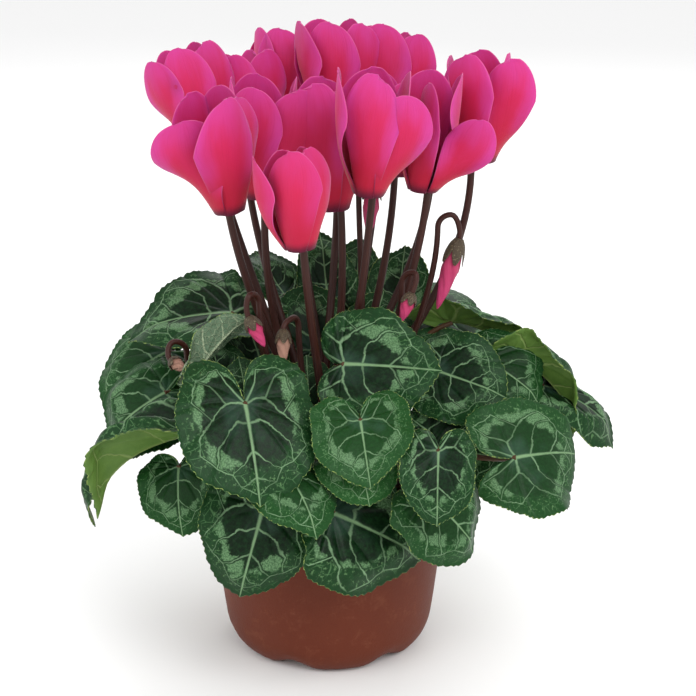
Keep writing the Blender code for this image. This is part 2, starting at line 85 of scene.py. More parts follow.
# Pot and soil
POT_TURNS = 180
POT_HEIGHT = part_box("pot")[1].z
RIM_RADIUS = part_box("pot")[1].x
RIM_BAND = 12 * MM
WALL = 1.5 * MM
FLOOR = 2.2 * MM
FOOT_RADIUS = 30 * MM
ARCHES = 6
ARCH_FIRST = math.radians(-53)
ARCH_HALF = math.radians(17)
ARCH_LIFT = 4 * MM
SLOT_SIZE = (8 * MM, 3.6 * MM, 30 * MM)
SLOT_RADIUS = 34 * MM
SOIL_LEVEL = 82 * MM
SOIL_DOME = 1.5 * MM
# Radius and height of the soil's lower edges, in mm
SOIL_FOOT = ((51.6, 36), (48.8, 14.5), (42, 8.8), (37.8, 6.8), (0.02, 6.8))
SOIL_RINGS = 34
SOIL_TURNS = 150
CRUMBS = 420

# Tuber and the places of the stalks on it
TUBER_RADIUS = 24 * MM
TUBER_HALF_HEIGHT = 13 * MM
TUBER_LEVEL = 78 * MM
ROOT_RINGS = {"outer": 18.2 * MM, "middle": 13.6 * MM, "inner": 8.8 * MM, "heart": 3.7 * MM}
ROOT_PITCH = {"outer": 4.4 * MM, "middle": 4.4 * MM, "inner": 5.4 * MM, "heart": 5.6 * MM}
SPACING_ROUNDS = 200
TUBER_ROWS = 40
TUBER_TURNS = 72
KNOB_DEPTH = 0.012

# Leaves
BLADE_THICK = 0.55 * MM
LEAF_SIDE = 0.60
LOBE_START = math.radians(138)
SINUS = math.radians(173)
LOBE_ROUND = 0.97
TIP_POINT = 0.07
TIP_SPREAD = 0.16
TEETH = 62
TOOTH_STEPS = 3
TOOTH_DEPTH = 0.030
VEIN_SPACING = math.radians(36)
VEIN_ARCH = 0.35
GROOVE_DEPTH = 0.016
GROOVE_WIDTH = 0.028
FOLD_ROUND = 0.02
PETIOLE_RADIUS = 1.5 * MM
PETIOLE_STEPS = 26
PETIOLE_SIDES = 10
HUB_BOSS = 1.3 * MM
STEEPNESS = {"outer": 0.38, "middle": 0.64}
MIDRIB_WIDTH = (0.020, 0.008)
# Veins of half a blade whose hub is (0, 0) and tip (1, 0): width at the start and end, and points
VEINS = (
    (0.013, 0.005, ((0.00, 0.00), (-0.02, 0.19), (0.11, 0.37), (0.32, 0.49), (0.47, 0.52))),
    (0.010, 0.004, ((-0.02, 0.19), (-0.24, 0.33), (-0.30, 0.44))),
    (0.010, 0.004, ((0.00, 0.00), (-0.22, 0.14), (-0.38, 0.20))),
    (0.011, 0.004, ((0.19, 0.00), (0.26, 0.20), (0.42, 0.35), (0.60, 0.38))),
    (0.010, 0.004, ((0.47, 0.00), (0.58, 0.12), (0.66, 0.25))),
    (0.008, 0.004, ((0.72, 0.00), (0.79, 0.09), (0.80, 0.17))),
    (0.005, 0.005, ((0.47, 0.52), (0.60, 0.38), (0.66, 0.25), (0.80, 0.17), (0.88, 0.02))),
    (0.005, 0.005, ((-0.38, 0.20), (-0.30, 0.44), (-0.06, 0.52), (0.11, 0.37))),
)
YOUNG_LEAVES = (15,)
BRIGHT_LEAVES = {4: 0.4, 6: 0.4, 9: 0.5, 10: 0.4, 13: 0.5, 14: 0.4, 16: 0.6, 17: 0.9, 20: 0.3}

# Flowers
PETALS = 5
PETAL_THICK = 0.5 * MM
PETAL_WIDTH = 0.51
PETAL_CLAW = 0.32
PETAL_WIDEST = 0.62
PETAL_BASE = 0.05
PETAL_BOW = math.radians(12)
BASE_FLARE = 3.4 * MM
BASE_DROP = 1.2 * MM
CLAW_CURVE = 7 * MM
FACE_CURVE = 26 * MM
PETAL_COLUMNS = 21
MIDLINE_STEPS = 120
THROAT_RADIUS = 4.4 * MM
TUBE_HEIGHT = 8 * MM
TUBE_SIDES = 24
# Radius and height of the tube between the petals, down its outside and up its inside, in mm
TUBE_PROFILE = (
    (0.01, 7.9), (3.2, 7.4), (3.5, 6.0), (3.5, 3.0), (4.0, 1.2), (4.5, 0.2), (4.4, -0.7), (3.9, -1.0),
    (3.4, -0.5), (3.0, 1.0), (2.8, 4.0), (2.0, 5.8), (0.01, 6.2),
)
HOOK_REACH = 6.4 * MM
HOOK_RISE = 2.6 * MM
CALYX_RADIUS = 3.4 * MM
SEPAL_THICK = 0.4 * MM
# Radius of a flower's stem at its foot, under its hook and along its hook
STEM_RADII = (2.2 * MM, 1.7 * MM, 1.4 * MM)
STEM_STEPS = 40
STEM_SIDES = 12
ANTHER_SIDES = 8

# Buds
CROOK_REACH = 6.0 * MM
BUD_STALK = 1.4 * MM
BUD_ROWS = 40
BUD_TWIST = 3.2
# A bud's width up its length, as shares
BUD_SWELL = ((0, 0.30), (0.08, 0.62), (0.2, 0.86), (0.42, 1.0), (0.75, 0.62), (0.93, 0.30), (1.0, 0.04))
CALYX_LENGTH = 6.5 * MM
LONG_CALYX = {1: 12 * MM}

# Leaves: hub and tip in mm, roll and fold in degrees, then shape factors
# ring, hub, tip, roll, width, bow, cup, fold, lobe
LEAVES = (
    ("outer", (-36, -76, 149), (-29, -100, 111), 0, 1.08, 0.05, -0.10, 4, 1.0),
    ("outer", (7, -44, 156), (50, -46, 153), 55, 0.92, 0.06, 0.05, 6, 0.5),
    ("outer", (51, -20, 144), (82, -30, 135), 48, 1.05, 0.05, 0.05, 8, 0.8),
    ("outer", (84, -58, 116), (115, -34, 108), 52, 1.12, 0.10, -0.10, 0, 0.9),
    ("outer", (47, -92, 133), (46, -106, 104), 0, 0.82, 0.04, 0.10, 16, 0.6),
    ("outer", (45, -82, 107), (66, -77, 78), 60, 1.00, 0.08, -0.05, 0, 0.7),
    ("outer", (2, -82, 100), (42, -70, 72), 55, 0.92, 0.06, -0.08, 0, 0.35),
    ("outer", (-29, -80, 101), (-40, -84, 60), -65, 0.95, 0.08, -0.10, 0, 0.6),
    ("outer", (-19, -82, 121), (-5, -101, 98), 10, 0.92, 0.12, -0.10, 0, 0.6),
    ("outer", (-67, -60, 113), (-65, -74, 86), 25, 1.00, 0.10, -0.05, 0, 0.45),
    ("outer", (-60, -60, 127), (-107, -60, 91), 10, 0.90, 0.16, -0.10, 48, 0.8),
    ("middle", (-46, 8, 164), (-93, 2, 155), -20, 0.92, 0.08, 0.00, 14, 0.6),
    ("outer", (-77, 10, 144), (-109, 2, 121), -30, 1.05, 0.10, -0.10, 0, 0.7),
    ("outer", (-76, -20, 134), (-106, -26, 111), -35, 1.05, 0.10, -0.10, 0, 0.7),
    ("middle", (-57, -46, 155), (-34, -41, 180), -62, 0.50, 0.05, 0.00, 44, 0.7),
    ("outer", (14, -76, 141), (18, -98, 119), 12, 1.14, 0.05, 0.15, 14, 0.8),
    ("outer", (11, -76, 126), (18, -94, 110), 10, 1.15, 0.06, 0.00, 0, 0.5),
    ("outer", (60, 20, 155), (108, 8, 126), -26, 0.56, 0.12, -0.05, 40, 0.7),
    ("outer", (104, 4, 128), (140, -2, 103), 8, 0.72, 0.10, -0.05, 6, 1.0),
    ("outer", (76, -6, 144), (101, -14, 125), 38, 1.00, 0.10, 0.05, 4, 0.8),
    ("middle", (-22, 46, 162), (-34, 58, 184), 10, 1.00, -0.05, 0.15, 10, 0.8),
    ("middle", (0, 52, 158), (-3, 66, 190), 0, 0.72, -0.05, 0.10, 15, 0.7),
    ("middle", (55, 52, 148), (88, 70, 130), 32, 1.05, 0.10, -0.05, 0, 0.8),
    ("middle", (34, 46, 153), (39, 60, 184), 0, 0.80, -0.05, 0.10, 12, 0.6),
    ("outer", (18, 84, 118), (26, 112, 84), 0, 1.10, 0.10, -0.10, 0, 1.0),
    ("middle", (-10, 72, 146), (-18, 108, 132), 0, 1.05, 0.10, -0.05, 0, 0.8),
    ("outer", (-50, 72, 118), (-68, 96, 86), 0, 1.10, 0.10, -0.10, 0, 1.0),
    ("outer", (-62, 47, 146), (-98, 68, 126), 0, 1.05, 0.10, -0.05, 0, 0.7),
)

# Flowers: mouth and top in mm, the angle of the first petal round the axis, and
# for each petal how far it leans out, swings round and turns its face, in degrees,
# then its length and width where they differ from the others'
# ring, mouth, top, yaw, petals
FLOWERS = (
    ("inner", (-43, -40, 227), (-50, -48, 278), -150,
     ((9, -6, -80, 0.86, 1.46), (6, 20, -28), (6, 0, 10), (4, 0, 0), (8, 0, 0))),
    ("inner", (-31, -11, 226), (-28, -12, 279), -40,
     ((11, 16, 45), (10, 0, 20), (6, 0, 0), (8, 0, -20), (4, 0, -15))),
    ("inner", (-55, 16, 242), (-68, 22, 288), -160,
     ((9, 0, -45), (2, 0, 0), (6, 0, 20), (5, 0, 0), (8, 0, -20))),
    ("inner", (-40, 36, 236), (-44, 41, 284), -90,
     ((6, 0, 0), (10, 0, 30), (8, 0, 0), (4, 0, 0), (10, 0, -30))),
    ("inner", (-12, -62, 216), (-15, -66, 259), -100,
     ((-1, 0, 0, 1.0, 1.1), (-1, 0, 14, 1.0, 1.15), (3, 0, 0), (3, 0, 0), (12, 0, -20))),
    ("heart", (3, -6, 219), (0, -5, 277), -118,
     ((7, 0, -22), (5, 0, 20), (8, 0, 10), (6, 0, 0), (8, 0, 0))),
    ("inner", (18, -42, 235), (23, -50, 288), -110,
     ((-3, 0, -25, 1.0, 0.9), (7, 10, 55, 0.92), (10, 0, 20), (8, 0, 0), (12, 0, -20))),
    ("inner", (43, -18, 231), (47, -22, 282), -115,
     ((-3, 0, 32, 0.96, 0.85), (27, 10, 60, 0.81, 0.96), (8, 0, 20), (0, 0, 0), (8, 0, -20))),
    ("inner", (71, 8, 238), (70, 10, 288), -128,
     ((7, 0, -15), (12, 12, 50), (8, 0, 20), (4, 0, 0), (10, 0, -20))),
    ("inner", (-19, 58, 241), (-22, 68, 292), -95,
     ((6, 0, 0), (10, 0, 30), (8, 0, 0), (6, 0, 0), (5, 0, -20))),
    ("heart", (4, 36, 247), (2, 40, 299), -95,
     ((4, 0, 0), (10, 0, 30), (8, 0, 0), (6, 0, 0), (9, 0, -25))),
    ("heart", (25, 44, 244), (28, 49, 294), -100,
     ((1, 0, -10), (11, 0, 35), (10, 0, 0), (6, 0, 0), (8, 0, -20))),
)
HALF_OPEN = 5

# Buds: crook, neck and tip in mm, and the bud's greatest radius
# ring, crook, neck, tip, radius
BUDS = (
    ("middle", (57, -4, 215), (61, -4, 203), (51, -9, 171), 4.4),
    ("middle", (39, -24, 193), (38, -28, 184), (33, -32, 172), 3.2),
    ("middle", (-34, -48, 190), (-35, -50, 180), (-28, -52, 167), 3.4),
    ("middle", (-16, -38, 176), (-20, -44, 172), (-20, -50, 158), 3.2),
    ("middle", (-70, -32, 163), (-71, -38, 156), (-64, -43, 153), 3.0),
)
PALE_BUDS = (4, 5)

# Growth inside the crown that stands for no node of its own: the distance from
# the tuber's axis where it roots in mm, and its direction in degrees, then as above
INNER_LEAVES = (
    (11, 100, ("middle", (-8, 30, 138), (-9, 46, 168), 0, 0.95, 0.05, 0.10, 10, 0.8)),
    (11, 60, ("middle", (22, 28, 136), (27, 44, 164), 0, 1.00, 0.05, 0.10, 8, 0.8)),
    (11, 140, ("middle", (-33, 18, 136), (-44, 32, 160), 0, 1.00, 0.05, 0.10, 8, 0.8)),
    (11, -60, ("middle", (10, -20, 124), (16, -6, 146), 20, 0.95, 0.05, 0.05, 8, 0.8)),
    (11, 10, ("middle", (46, 4, 130), (52, 18, 154), 10, 1.00, 0.05, 0.10, 8, 0.8)),
    (11, -20, ("middle", (47, -36, 112), (82, -34, 106), 62, 1.05, 0.05, 0.05, 6, 0.8)),
    (11, -105, ("middle", (-9, -24, 120), (-10, -12, 148), 0, 1.00, 0.05, 0.05, 8, 0.8)),
    (11, -140, ("middle", (-37, -34, 124), (-41, -26, 152), 0, 1.00, 0.05, 0.05, 6, 0.8)),
    (11, -165, ("middle", (-50, -22, 136), (-56, -12, 160), 10, 1.00, 0.05, 0.05, 6, 0.8)),
    (11, 85, ("middle", (14, 58, 150), (16, 72, 184), 0, 0.66, -0.05, 0.10, 14, 0.6)),
    (15.8, 55, ("outer", (44, 66, 130), (70, 92, 108), 0, 1.05, 0.10, -0.08, 0, 0.8)),
    (15.8, 118, ("outer", (-26, 60, 128), (-44, 92, 112), 0, 1.05, 0.10, -0.08, 0, 0.8)),
    (15.8, 28, ("outer", (72, 40, 132), (104, 54, 108), 0, 1.00, 0.10, -0.08, 0, 0.8)),
    (15.8, 160, ("outer", (-74, 30, 130), (-104, 44, 104), 0, 1.00, 0.10, -0.08, 0, 0.8)),
    (15.8, 85, ("middle", (10, 74, 140), (14, 104, 122), 0, 1.00, 0.10, -0.08, 0, 0.8)),
    (15.8, -4, ("outer", (90, 2, 143), (119, -7, 109), -40, 0.78, 0.12, -0.05, 40, 0.6)),
    (15.8, -172, ("outer", (-94, -42, 122), (-112, -51, 83), 24, 0.50, 0.14, -0.10, 20, 0.6)),
)
INNER_FLOWERS = (
    (6.2, 20, ("heart", (33, 12, 231), (35, 14, 276), -80,
     ((4, 0, 0), (10, 0, 20), (8, 0, 0), (6, 0, 0), (8, 0, -20)))),
    (6.2, 60, ("heart", (51, 42, 230), (53, 46, 270), -95,
     ((4, 0, 0), (8, 0, 20), (8, 0, 0), (6, 0, 0), (8, 0, -20)))),
)
INNER_BUDS = (
    (11, 30, ("middle", (20, 10, 236), (21, 6, 226), (19, 3, 203), 4.0)),
)

# Camera and soft lights, in metres; a light's power is in watts
CAMERA_LENS = 87.7
CAMERA_PLACE = (0, -0.765, 0.404)
CAMERA_AIM = (0.0095, 0, 0.149)
LIGHT_AIM = (0, 0, 0.15)
# name, place, size, power
SOFTBOXES = (
    ("key_softbox", (0.55, -1.0, 1.15), 0.8, 11),
    ("fill_softbox", (-1.1, -0.6, 0.8), 1.0, 4),
    ("back_softbox", (0.2, 1.1, 1.1), 1.0, 7),
)


# ---------------------------------------------------------------- small tools

def colour(code):
    """Linear red, green, blue and alpha of a six-digit sRGB code."""
    parts = [int(code[k:k + 2], 16) / 255 for k in (0, 2, 4)]
    return (*[p / 12.92 if p < 0.04045 else ((p + 0.055) / 1.055) ** 2.4 for p in parts], 1)


def unit(vectors):
    """Vectors of length one."""
    return vectors / np.maximum(np.linalg.norm(vectors, axis=-1, keepdims=True), 1e-12)


def smoothstep(values, low, high):
    """0 below low, 1 above high, and a smooth step between."""
    share = np.clip((values - low) / (high - low), 0, 1)
    return share * share * (3 - 2 * share)


def curve(a, b, c, d, steps):
    """Points along a cubic curve from a to d, with the handles b and c."""
    share = np.linspace(0, 1, steps + 1)[:, None]
    rest = 1 - share
    return a * rest ** 3 + b * 3 * rest ** 2 * share + c * 3 * rest * share ** 2 + d * share ** 3


def circle(count):
    """Angles round a circle, in equal steps."""
    return np.linspace(0, 2 * math.pi, count, endpoint=False)


def joined(*parts):
    """Numbers or arrays of numbers, as the parts of vectors."""
    return np.stack(np.broadcast_arrays(*parts), axis=-1)


def grid_of(rows, columns):
    """The row's and the column's value at each point of a grid."""
    return np.meshgrid(rows, columns, indexing="ij")


def spokes(along, side, turn):
    """Directions at right angles to an axis, turned round it from a first one."""
    turn = np.asarray(turn)[..., None]
    return side * np.cos(turn) + np.cross(along, side) * np.sin(turn)


def around(frame, radius, turn, height):
    """Points from their distance to an axis, their angle round it and their height along it.

    The frame is the axis's start, its direction and the direction of angle 0.
    """
    start, along, side = frame
    radius, turn, height = np.broadcast_arrays(radius, turn, height)
    return start + spokes(along, side, turn) * radius[..., None] + along * height[..., None]


def smooth_noise(points, seed, waves=24, size=1.0):
    """A gentle random field, about -1 to 1, made of a few fixed waves."""
    draw = np.random.default_rng(seed)
    total = np.zeros(points.shape[:-1])
    for _ in range(waves):
        direction = draw.normal(size=3) * size
        total += np.sin(points @ direction + draw.uniform(0, 2 * math.pi))
    return total / math.sqrt(waves / 2)


class Body:
    """Collects shells, and makes one piece of them."""

    def __init__(self):
        self.points = []
        self.flat = []
        self.span = []
        self.faces = []
        self.slots = []
        self.count = 0

    def add(self, points, faces, slots, flat=(0, 0, 0), span=(0, 0, 0)):
        """One shell; flat and span are three numbers a point, for its material."""
        self.points.append(points)
        self.flat.append(np.broadcast_to(flat, points.shape))
        self.span.append(np.broadcast_to(span, points.shape))
        self.faces += [tuple(int(index) + self.count for index in face) for face in faces]
        self.slots += [slots] * len(faces) if isinstance(slots, int) else list(slots)
        self.count += len(points)

    def add_round(self, grid, slot, flat=(0, 0, 0)):
        """A shell whose rows of points go round an axis."""
        rows, columns = grid.shape[:2]
        self.add(grid.reshape(-1, 3), grid_faces(rows, columns, closed=True), slot, flat)

    def add_tube(self, path, radii, sides, slot, seed=0):
        """A tube whose flat coordinates are the share of its length and turn, and a seed."""
        points, faces, shares, turns = tube(path, radii, sides)
        self.add(points, faces, slot, joined(shares, turns, seed))

    def add_sheet(self, grid, thick, flat, slot=None, span=(0, 0, 0)):
        """A sheet with flat coordinates for its grid; without a slot, one slot for each side."""
        points, faces, sides, source = sheet(grid, thick)
        self.add(points, faces, sides if slot is None else slot, flat.reshape(-1, 3)[source], span)

    def piece(self, name, materials, node, sharp=50):
        """The finished piece: it stands for one CAD node and rides with the pot."""
        mesh = bpy.data.meshes.new(name)
        mesh.from_pydata(np.vstack(self.points).tolist(), [], self.faces)
        for label, parts in (("flat", self.flat), ("span", self.span)):
            layer = mesh.attributes.new(label, "FLOAT_VECTOR", "POINT")
            layer.data.foreach_set("vector", np.vstack(parts).astype(np.float32).ravel())
        for finish in materials:
            mesh.materials.append(finish)
        mesh.polygons.foreach_set("material_index", self.slots)
        mesh.shade_smooth()
        mesh.set_sharp_from_angle(angle=math.radians(sharp))
        made = bpy.data.objects.new(name, mesh)
        bpy.context.scene.collection.objects.link(made)
        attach(made, "root")
        if node:
            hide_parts(node)
        return made


def grid_faces(rows, columns, closed=False):
    """Quads of a grid of points, joined round if closed."""
    faces = []
    for row in range(rows - 1):
        for k in range(columns if closed else columns - 1):
            a = row * columns + k
            b = row * columns + (k + 1) % columns
            faces.append((a, b, b + columns, a + columns))
    return faces


def sheet(grid, thick, hub=None, facing=None):
    """A thin closed shell round a grid of points, with a rounded rim.

    Returns the points, the faces, each face's side (0 front, 1 back, 2 rim) and
    the grid index that each point comes from. A hub closes the first row.
    """
    rows, columns = grid.shape[:2]
    normals = unit(np.cross(np.gradient(grid, axis=0), np.gradient(grid, axis=1))).reshape(-1, 3)
    middle = grid.reshape(-1, 3)
    faces = grid_faces(rows, columns)
    order = np.arange(rows * columns).reshape(rows, columns)
    border = [*order[:, 0], *order[-1, 1:], *order[-2::-1, -1]]
    if hub is None:
        border += list(order[0, -2:0:-1])
    else:
        middle = np.vstack([middle, hub])
        normals = np.vstack([normals, facing])
        faces += [(len(middle) - 1, k + 1, k) for k in range(columns - 1)]
        border.append(len(middle) - 1)
    size = len(middle)
    half = thick / 2
    along = middle[np.roll(border, -1)] - middle[np.roll(border, 1)]
    out = unit(np.cross(along, normals[border]))
    if np.mean(np.sum(out * (middle[border] - middle.mean(axis=0)), axis=1)) < 0:
        out = -out
    points = np.vstack([middle + normals * half, middle - normals * half, middle[border] + out * half])
    back = [tuple(index + size for index in reversed(face)) for face in faces]
    rim = []
    for k, here in enumerate(border):
        following = (k + 1) % len(border)
        there = border[following]
        rim.append((here, there, 2 * size + following, 2 * size + k))
        rim.append((2 * size + k, 2 * size + following, there + size, here + size))
    sides = [0] * len(faces) + [1] * len(back) + [2] * len(rim)
    source = np.concatenate([np.arange(size), np.arange(size), border])
    return points, faces + back + rim, sides, source


def tube(path, radii, sides):
    """A closed tube along a path, with the share of its length and turn at each point."""
    along = unit(np.gradient(path, axis=0))
    side = np.cross(along[0], (0.3, 0.9, 0.1))
    points = []
    for k, point in enumerate(path):
        side = unit(side - along[k] * side.dot(along[k]))
        points.append(around((point, along[k], side), radii[k], circle(sides), 0))
    count = len(path)
    points += [path[:1], path[-1:]]
    faces = grid_faces(count, sides, closed=True)
    first = count * sides
    for k in range(sides):
        following = (k + 1) % sides
        faces.append((first, following, k))
        faces.append((first + 1, first - sides + k, first - sides + following))
    shares = np.append(np.repeat(np.linspace(0, 1, count), sides), [0, 1])
    turns = np.append(np.tile(np.linspace(0, 1, sides, endpoint=False), count), [0, 0])
    return np.vstack(points), faces, shares, turns


# ---------------------------------------------------------------- materials

class Wire:
    """A number or vector in a material; arithmetic on it adds the nodes that work it out."""

    def __init__(self, graph, socket):
        self.graph = graph
        self.socket = socket

    def __add__(self, other):
        return self.graph.math("ADD", self, other)

    def __sub__(self, other):
        return self.graph.math("SUBTRACT", self, other)

    def __rsub__(self, other):
        return self.graph.math("SUBTRACT", other, self)

    def __mul__(self, other):
        return self.graph.math("MULTIPLY", self, other)

    def __truediv__(self, other):
        return self.graph.math("DIVIDE", self, other)

    def __abs__(self):
        return self.graph.math("ABSOLUTE", self)


class Graph:
    """Short ways to build one procedural material; a colour is a six-digit sRGB code."""

    def __init__(self, name, roughness, specular):
        self.material = bpy.data.materials.new(name)
        self.material.use_nodes = True
        self.tree = self.material.node_tree
        self.shader = self.tree.nodes["Principled BSDF"]
        self.fill(self.shader, {"Roughness": roughness, "Specular IOR Level": specular})

    def new(self, kind):
        """A new node of this kind."""
        return self.tree.nodes.new("ShaderNode" + kind)

    def fill(self, node, values, output=0):
        """One output of a node, once these values or links are on its sockets."""
        for name, value in values.items():
            if isinstance(value, Wire):
                self.tree.links.new(value.socket, node.inputs[name])
            else:
                node.inputs[name].default_value = colour(value) if isinstance(value, str) else value
        return Wire(self, node.outputs[output])

    def math(self, operation, *values, clamp=False):
        """One number from others."""
        node = self.new("Math")
        node.operation = operation
        node.use_clamp = clamp
        return self.fill(node, dict(enumerate(values)))

    def step(self, value, low, high):
        """0 to 1 as a value goes smoothly from low to high."""
        node = self.new("MapRange")
        node.interpolation_type = "SMOOTHSTEP"
        return self.fill(node, {"Value": value, "From Min": low, "From Max": high}, "Result")

    def fade(self, value, low, high):
        """1 to 0 as a value goes smoothly from low to high."""
        return 1.0 - self.step(value, low, high)

    def mix(self, factor, first, second):
        """A colour between two colours."""
        node = self.new("Mix")
        node.data_type = "RGBA"
        return self.fill(node, {"Factor": factor, 6: first, 7: second}, 2)

    def three(self, name):
        """The three numbers of a vector attribute."""
        node = self.new("Attribute")
        node.attribute_name = name
        split = self.new("SeparateXYZ")
        self.tree.links.new(node.outputs["Vector"], split.inputs[0])
        return [Wire(self, output) for output in split.outputs]

    def vector(self, x, y, z):
        """A vector from three numbers."""
        return self.fill(self.new("CombineXYZ"), {0: x, 1: y, 2: z})

    def place(self):
        """The object's own coordinates."""
        return self.fill(self.new("TexCoord"), {}, "Object")

    def noise(self, vector, scale, detail=3.0, roughness=0.55, distortion=0.0):
        """Fractal noise, 0 to 1."""
        values = {"Vector": vector, "Scale": scale, "Detail": detail}
        values.update({"Roughness": roughness, "Distortion": distortion})
        return self.fill(self.new("TexNoise"), values, "Fac")

    def cells(self, vector, scale, feature="DISTANCE_TO_EDGE"):
        """Distance to the edges of random cells, or to their centres."""
        node = self.new("TexVoronoi")
        node.feature = feature
        return self.fill(node, {"Vector": vector, "Scale": scale}, "Distance")

    def join(self, operation, first, second):
        """A vector operation; its number or its vector."""
        node = self.new("VectorMath")
        node.operation = operation
        output = "Value" if operation in ("DISTANCE", "DOT_PRODUCT") else "Vector"
        return self.fill(node, {0: first, "Scale" if operation == "SCALE" else 1: second}, output)

    def polyline(self, point, corners, start, end):
        """Distance from each stretch of a line, as a multiple of the line's half width there."""
        ratios = []
        step = (end - start) / (len(corners) - 1)
        for k, (here, there) in enumerate(zip(corners, corners[1:])):
            along = Vector((*there, 0)) - Vector((*here, 0))
            offset = self.join("SUBTRACT", point, (*here, 0))
            share = self.join("DOT_PRODUCT", offset, along / along.length_squared)
            share = self.math("ADD", share, 0.0, clamp=True)
            distance = self.join("DISTANCE", offset, self.join("SCALE", along, share))
            ratios.append(distance / self.math("MULTIPLY_ADD", share, step, start + step * k))
        return ratios

    def bump(self, height, distance, strength=1.0):
        """Fine relief from a height between 0 and 1."""
        node = self.new("Bump")
        relief = self.fill(node, {"Height": height, "Distance": distance, "Strength": strength})
        self.fill(self.shader, {"Normal": relief})

    def finish(self, base, **values):
        """Sets the base colour, and any other values of the shader."""
        self.fill(self.shader, {"Base Color": base, **values})
        return self.material


def leaf_veins(g):
    """The leaf's veins and zones, from its flat and span attributes.

    flat holds the blade's own coordinates and a seed, span the share from hub to
    margin and how bright the leaf is.
    """
    u, v, seed = g.three("flat")
    share, tone, _ = g.three("span")
    place = g.vector(u, v, seed)
    bend = g.noise(place, 2.3, 1.0) - 0.5
    jag = g.noise(place, 13.0, 2.0) - 0.5
    shift = bend * 0.16 + jag * 0.045
    side = abs(v)
    away = g.step(side, 0.0, 0.12)
    point = g.vector(u + shift * away, side - shift * (away * 0.8), 0.0)
    width = u * (MIDRIB_WIDTH[1] - MIDRIB_WIDTH[0]) + MIDRIB_WIDTH[0]
    nearest = (side + jag * 0.01) / width + g.math("LESS_THAN", u, 0.0) * 50.0
    midrib = g.fade(nearest, 0.3, 1.25)
    for start, end, corners in VEINS:
        for ratio in g.polyline(point, corners, start, end):
            nearest = g.math("MINIMUM", nearest, ratio)
    vein = g.fade(nearest, 0.3, 1.7) * g.fade(share, 0.90, 0.99)
    net = g.fade(g.cells(g.vector(u + bend * 0.3, v, seed), 8.5), 0.010, 0.040)
    rim = g.step(share, 0.60, 0.80) * g.fade(share, 0.93, 0.99)
    net = net * (rim * g.step(g.noise(place, 5.0, 1.0), 0.42, 0.58))
    return place, vein, midrib, net, nearest, share, tone


def leaf_front():
    """Upper side: dark middle, silvery blotches between the veins, greener margin, and a painted sheen near
    the hub.
    """
    g = Graph("leaf_upper_side", 0.34, 0.11)
    place, vein, midrib, net, nearest, share, tone = leaf_veins(g)
    fine = g.noise(place, 24.0, 4.0, 0.7)
    mottle = g.noise(place, 60.0, 3.0)
    ragged = g.noise(place, 11.0, 4.0, 0.65) - 0.5
    large = g.noise(place, 2.6, 1.0) - 0.5
    base = g.mix(g.step(share + ragged * 0.5, 0.60, 0.76), "081a0b", "153418")
    base = g.mix(g.step(fine, 0.35, 0.75) * 0.35, base, "1e4a24")
    base = g.mix(tone * 0.55, base, g.mix(fine * 0.6, "20531f", "30672e"))
    band = 1.0 - abs(share - 0.68) / 0.19
    blotch = g.step(band * 0.9 + ragged * 1.3 + large * 2.2, 0.60, 0.84) * g.step(band, 0.0, 0.2)
    blotch = blotch * g.step(nearest, 1.8, 4.2)
    base = g.mix(blotch * 0.9, base, g.mix(g.step(mottle, 0.34, 0.66), "3a5c3a", "688b63"))
    outer = g.step(share, 0.62, 0.78) * g.fade(share, 0.90, 0.97)
    flecks = g.step(g.noise(place, 34.0, 3.0, 0.65), 0.57, 0.66) * outer
    base = g.mix(flecks * 0.6, base, "628859")
    # Painted sheen: a soft grey-blue green near the hub, made patchy by the large noise, stands for the
    # glossy reflection there
    base = g.mix(g.fade(share + large, 0.05, 0.36) * 0.26, base, "425f52")
    base = g.mix(net * 0.55, base, "527a4e")
    faded = g.step(g.noise(place, 4.0, 2.0), 0.35, 0.62) * 0.45 + 0.40
    base = g.mix(vein * faded, base, "74956f")
    base = g.mix(midrib * 0.75, base, "76966c")
    g.bump(vein * -0.7 + mottle * 0.25 + fine * 0.5, 0.4 * MM, 0.8)
    return g.finish(base, Roughness=fine * 0.20 + 0.26)


def young_leaf():
    """Folded young leaf: pale grey-green with a close net of veins."""
    g = Graph("young_leaf", 0.45, 0.25)
    place, vein = leaf_veins(g)[:2]
    net = g.fade(g.cells(place, 15.0), 0.02, 0.10)
    base = g.mix(g.noise(place, 14.0, 3.0), "2f4c33", "6d8468")
    base = g.mix(net * 0.6, base, "93a585")
    g.bump(g.noise(place, 40.0) - net, 0.5 * MM)
    return g.finish(g.mix(vein * 0.7, base, "a9b795"))


def leaf_back():
    """Lower side: pale yellow-green with raised veins."""
    g = Graph("leaf_lower_side", 0.5, 0.2)
    place, vein = leaf_veins(g)[:2]
    base = g.mix(g.noise(place, 9.0, 3.0), "3f5f25", "63823a")
    g.bump(vein + g.noise(place, 45.0) * 0.4, 0.5 * MM, 0.7)
    return g.finish(g.mix(vein * 0.5, base, "87995a"))


def leaf_rim():
    """The thin paler edge of a blade, with its darker dots."""
    g = Graph("leaf_rim", 0.5, 0.2)
    dots = g.noise(g.vector(*g.three("flat")), 30.0, 2.0)
    return g.finish(g.mix(g.step(dots, 0.42, 0.66), "2a4c28", "83964f"))


def stalk_skin(name, low, high, speck):
    """Skin of a stalk, from its foot to its top, with long streaks and fine specks."""
    g = Graph(name, 0.42, 0.25)
    share, turn, seed = g.three("flat")
    streak = g.noise(g.vector(share * 3.0, turn * 9.0, seed), 3.0, 3.0)
    dots = g.noise(g.place(), 2600.0, 2.0, 0.7)
    base = g.mix(g.step(share, 0.05, 0.9), low, high)
    base = g.mix(g.step(streak, 0.45, 0.75) * 0.45, base, speck)
    g.bump(streak + dots * 0.6, 0.25 * MM, 0.6)
    return g.finish(g.mix(g.step(dots, 0.58, 0.70) * 0.35, base, "1c0f0c"))


